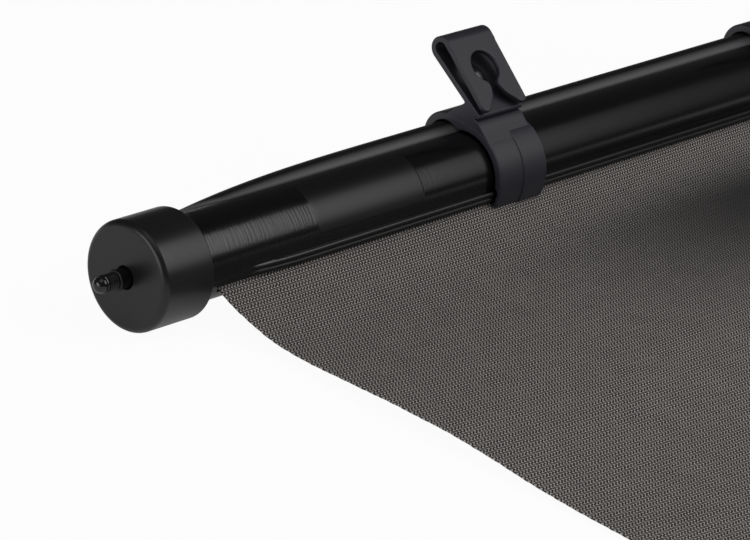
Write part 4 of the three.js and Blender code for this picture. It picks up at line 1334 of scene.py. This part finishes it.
    def plate_outline(self) -> Array:
        """The front plate's outline, across and down: straight sides, two round lobes and the
        keyhole, open between them."""
        half = self.hook_width / 2 - self.plate_gap
        length, lobe = self.front_length, self.lobe_radius
        near, far = self.hole_open + self.hole_blend, 450 - self.hole_open - self.hole_blend
        circle = arc((0, self.hole_drop), self.hole_radius, 90 + near, far, 44)
        chin = polar(self.hole_radius, 90 - self.hole_open) + (0, self.hole_drop)
        side = self.bezier(circle[-1], chin, (self.neck_half, chin[1] + self.neck_length), 9)
        flare = self.bezier(side[-1], (self.neck_half * 1.2, length - lobe * 2.2),
                            (self.mouth_half, length - lobe), 12)
        pull, end = ((self.mouth_half + reach, length) for reach in self.lobe_tips)
        tip = self.bezier(flare[-1], pull, end, 8)
        corner = self.bezier((half - lobe, length), (half, length), (half, length - lobe), 8)
        right = np.concatenate([side, flare[1:], tip[1:], corner])
        top = [[half, self.plate_top], [-half, self.plate_top]]
        return np.concatenate([circle[1:-1], right, top, right[::-1] * (-1, 1)])

    @staticmethod
    def bezier(start: Sequence[float], pull: Sequence[float], end: Sequence[float], count: int) -> Array:
        """A quadratic curve (1-t)^2 start + 2t(1-t) pull + t^2 end."""
        t = np.linspace(0, 1, count)[:, None]
        a, b, c = (np.asarray(point, float) for point in (start, pull, end))
        return (1 - t) ** 2 * a + 2 * t * (1 - t) * b + t**2 * c

    def front(self) -> Shell:
        """The front plate, laid in its slope."""
        down, out, *_ = self.directions()
        outline = self.plate_outline()
        if signed_area(outline) < 0:
            outline = outline[::-1]
        plate = slab(outline, self.plate_gap, self.hook_wall - self.plate_gap, self.edge)
        top = np.array(self.fold) + out * (self.fold_radius - self.hook_wall)
        basis = [[0, out[0], out[1]], [1, 0, 0], [0, down[0], down[1]]]
        return plate.moved(basis, (self.place + self.hook_width / 2, top[0], top[1]))

    def dome(self) -> Shell:
        """A low dome on the back plate: a ball's cap above a short side."""
        _, _, up, inward, _ = self.directions()
        ball = (self.dome_radius**2 + self.dome_height**2) / (2 * self.dome_height)
        rise = math.degrees(math.asin(self.dome_radius / ball))
        crown = arc((self.dome_height - ball, 0), ball, 0, rise, 16)
        profile = np.concatenate([crown, [[-self.dome_sink, self.dome_radius], [-self.dome_sink, 0.0]]])
        seat = np.array(self.fold) + inward * (self.hook_wall - self.fold_radius) - up * self.hole_drop
        basis = [[0, inward[0], inward[1]], [1, 0, 0], [0, up[0], up[1]]]
        return turned(profile, 64).moved(basis, (self.place + self.hook_width / 2, seat[0], seat[1]))

    def build(self) -> None:
        """Makes the clip at its end of the blind."""
        shell = combined(self.band(), self.hook(), self.front())
        dome = self.dome()
        body = Body.LEFT_CLIP
        if self.end is End.RIGHT:
            shell, dome, body = shell.mirrored(), dome.mirrored(), Body.RIGHT_CLIP
        side = self.end.value
        node = f"{side}_hanger_clip"
        as_piece(f"{side}_clip_moulding", shell, body, "clip_grey", CLIP_PLASTIC, [node], sharp=40)
        as_piece(f"{side}_clip_dome", dome, body, "clip_grey", DOME_PLASTIC, sharp=60)


@dataclass
class InnerWorks:
    """The CAD nodes inside the tube and the bar, which keep their shapes."""

    finishes: dict[str, Finish] = field(default_factory=lambda: {
        "left_bearing_cup": INNER_PLASTIC,
        "brake_cone": SPRING_STEEL,
        "button_spring": SPRING_STEEL,
        "brake_ring": INNER_PLASTIC,
        "left_roller_plug": INNER_PLASTIC,
        "right_roller_plug": INNER_PLASTIC,
        "roller_tube": MILL_ALUMINIUM,
        "spring_arbor": SPRING_STEEL,
        "arbor_spacer": INNER_PLASTIC,
        "arbor_collar": INNER_PLASTIC,
        "roller_spring": SPRING_STEEL,
        "spring_anchor": INNER_PLASTIC,
        "hem_rod": MILL_ALUMINIUM,
    })

    def build(self) -> None:
        """Dresses each node."""
        for name, finish in self.finishes.items():
            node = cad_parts[name]
            for slot in node.material_slots:
                slot.link = "OBJECT"
                slot.material = finish.material()
            log.info("%s: %s", name, finish.name)


# Studio


def stand(
    name: str, kind: bpy.types.ID, place: Sequence[float], axes: Sequence[Sequence[float]]
) -> bpy.types.Object:
    """Stands a lamp or a camera in the scene.

    Args:
        name: its name.
        kind: the lamp or camera.
        place: where it stands, in metres.
        axes: its own X, Y and Z in the row frame; it looks along -Z.
    """
    holder = bpy.data.objects.new(name, kind)
    bpy.context.collection.objects.link(holder)
    holder.location = place
    holder.rotation_mode = "QUATERNION"
    holder.rotation_quaternion = Matrix(axes).transposed().to_quaternion()
    return holder


@dataclass(frozen=True)
class Softbox:
    """A soft area lamp: where it stands from its target, its size and its radiance."""

    name: str
    target: tuple[float, float, float]
    direction: tuple[float, float, float]
    distance: float
    width: float
    height: float
    radiance: float
    shift: float = 0.0
    roll: float = 0.0

    def build(self) -> None:
        """Makes the lamp. Its power is radiance times pi times its area, and its width lies along
        the blind before it is rolled about its aim."""
        aim = Vector(self.direction).normalized()
        level = (Vector((1, 0, 0)) - aim * aim.x).normalized()
        level = Matrix.Rotation(math.radians(self.roll), 3, aim) @ level
        lamp = bpy.data.lights.new(self.name, "AREA")
        lamp.shape = "RECTANGLE"
        lamp.size, lamp.size_y = self.width * MM, self.height * MM
        lamp.energy = self.radiance * math.pi * lamp.size * lamp.size_y
        target = Vector(BLIND.placed(np.array(self.target)))
        place = target + aim * self.distance * MM + level * self.shift * MM
        stand(self.name, lamp, place, (level, aim.cross(level), aim))


# The front softbox's target, direction and distance, which its dimmer edges share.
FRONT = ((40, 0, 0), (0.70, -0.487, 0.522), 900)


@dataclass
class Studio:
    """The white table, the plain world, the lamps and the camera."""

    focal: float = 3742.35
    azimuth: float = 0.824955
    elevation: float = 0.308788
    tilt: float = 9.5
    cap_pixel: tuple[float, float] = (124.53, 277.63)
    distance: float = 827.8
    picture: tuple[float, float] = (750.0, 540.0)
    ambient: float = 0.22
    mirrored_room: float = 0.05
    seen_table: float = 0.95
    mirrored_table: float = 0.32
    table_half: float = 12.0
    lamps: tuple[Softbox, ...] = (
        Softbox("front softbox", *FRONT, 500, 680, 2.8, shift=-300),
        Softbox("front softbox near edge", *FRONT, 70, 680, 1.4, shift=-15),
        Softbox("front softbox far edge", *FRONT, 90, 680, 0.6, shift=65),
        Softbox("front softbox rim", *FRONT, 120, 680, 0.2, shift=170),
        Softbox("left strip light", (0, 0, 0), (-0.93, 0.08, 0.30), 900, 420, 800, 3.0, roll=-41),
        Softbox("overhead softbox", (180, -150, 0), (-0.3, 0.0, 1.0), 1300, 1000, 900, 0.7),
    )

    def camera(self) -> None:
        """The camera fitted to the photograph, looking along the tube's table frame."""
        turn, rise, tilt = self.azimuth, self.elevation, math.radians(self.tilt)
        flat = np.array([math.sin(turn), math.cos(turn), 0.0]) * math.cos(rise)
        forward = flat - (0.0, 0.0, math.sin(rise))
        right = np.array([math.cos(turn), -math.sin(turn), 0.0])
        up = np.cross(right, forward)
        cosine, sine = math.cos(tilt), math.sin(tilt)
        level = np.array([[1, 0, 0], [0, cosine, sine], [0, -sine, cosine]])
        forward, right, up = level @ forward, level @ right, level @ up
        across = (self.cap_pixel[0] - self.picture[0] / 2) / self.focal
        below = (self.cap_pixel[1] - self.picture[1] / 2) / self.focal
        place = -self.distance * (forward + across * right - below * up)
        lens = bpy.data.cameras.new("camera")
        lens.sensor_width = 36.0
        lens.lens = self.focal / self.picture[0] * lens.sensor_width
        lens.clip_start, lens.clip_end = 0.01, 100.0
        bpy.context.scene.camera = stand("camera", lens, BLIND.placed(place), (right, up, -forward))

    def table(self) -> None:
        """A wide white table that keeps the object's shadow."""
        half = self.table_half
        corners = [[-half, -half, 0], [half, -half, 0], [half, half, 0], [-half, half, 0]]
        mesh = bpy.data.meshes.new("white_table")
        mesh.from_pydata(corners, [], [[0, 1, 2, 3]])
        table = bpy.data.objects.new("white_table", mesh)
        bpy.context.collection.objects.link(table)
        made = bpy.data.materials.new("white laminate")
        made.use_nodes = True
        tree = made.node_tree
        shader = tree.nodes["Principled BSDF"]
        shader.inputs["Base Color"].default_value = linear("#f2f2f2")
        shader.inputs["Roughness"].default_value = 0.6
        shader.inputs["Specular IOR Level"].default_value = 0.0
        rays = add_node(tree, "LightPath").node.outputs
        add = partial(add_node, tree)
        mirrored = {0: rays["Is Glossy Ray"], 1: rays["Is Transmission Ray"]}
        mirrored = add("Math", mirrored, operation="MAXIMUM")
        mirrored = add("Math", {0: mirrored, 1: self.mirrored_table}, operation="MULTIPLY")
        direct = add("Math", {0: rays["Is Camera Ray"], 1: self.seen_table}, operation="MULTIPLY")
        share = add("Math", {0: direct, 1: mirrored}, operation="MAXIMUM")
        white = add("Emission", {"Color": (1, 1, 1, 1), "Strength": 1.0})
        mixed = add("MixShader", {0: share, 1: shader.outputs[0], 2: white})
        tree.links.new(mixed, tree.nodes["Material Output"].inputs["Surface"])
        mesh.materials.append(made)

    def world(self) -> None:
        """A plain room: white where the camera sees it or glass shows it, dim for light."""
        world = bpy.data.worlds.new("studio")
        bpy.context.scene.world = world
        world.use_nodes = True
        tree = world.node_tree
        add = partial(add_node, tree)
        rays = add("LightPath").node.outputs
        shown = {0: rays["Is Camera Ray"], 1: rays["Is Transmission Ray"]}
        shown = add("Math", shown, operation="MAXIMUM")
        ends = {"To Min": self.ambient, "To Max": self.mirrored_room}
        lit = add("MapRange", {"Value": rays["Is Glossy Ray"], **ends})
        dim = tree.nodes["Background"]
        dim.inputs["Color"].default_value = (1, 1, 1, 1)
        strength = add("Mix", {0: shown, 2: lit, 3: 1.0}, data_type="FLOAT")
        tree.links.new(strength, dim.inputs["Strength"])

    def build(self) -> None:
        """Makes the studio."""
        self.camera()
        self.table()
        self.world()
        for lamp in self.lamps:
            lamp.build()
        bpy.context.scene.view_settings.view_transform = "Standard"


def main() -> None:
    """Builds the blind piece by piece."""
    logging.basicConfig(level=logging.INFO, format="%(name)s: %(message)s")
    Studio().build()
    HousingTube().build()
    for end in End:
        EndCap(end).build()
        HangerClip(end).build()
    ReleaseButton().build()
    Cloth().build()
    PullBar().build()
    InnerWorks().build()


if __name__ == "__main__":
    main()
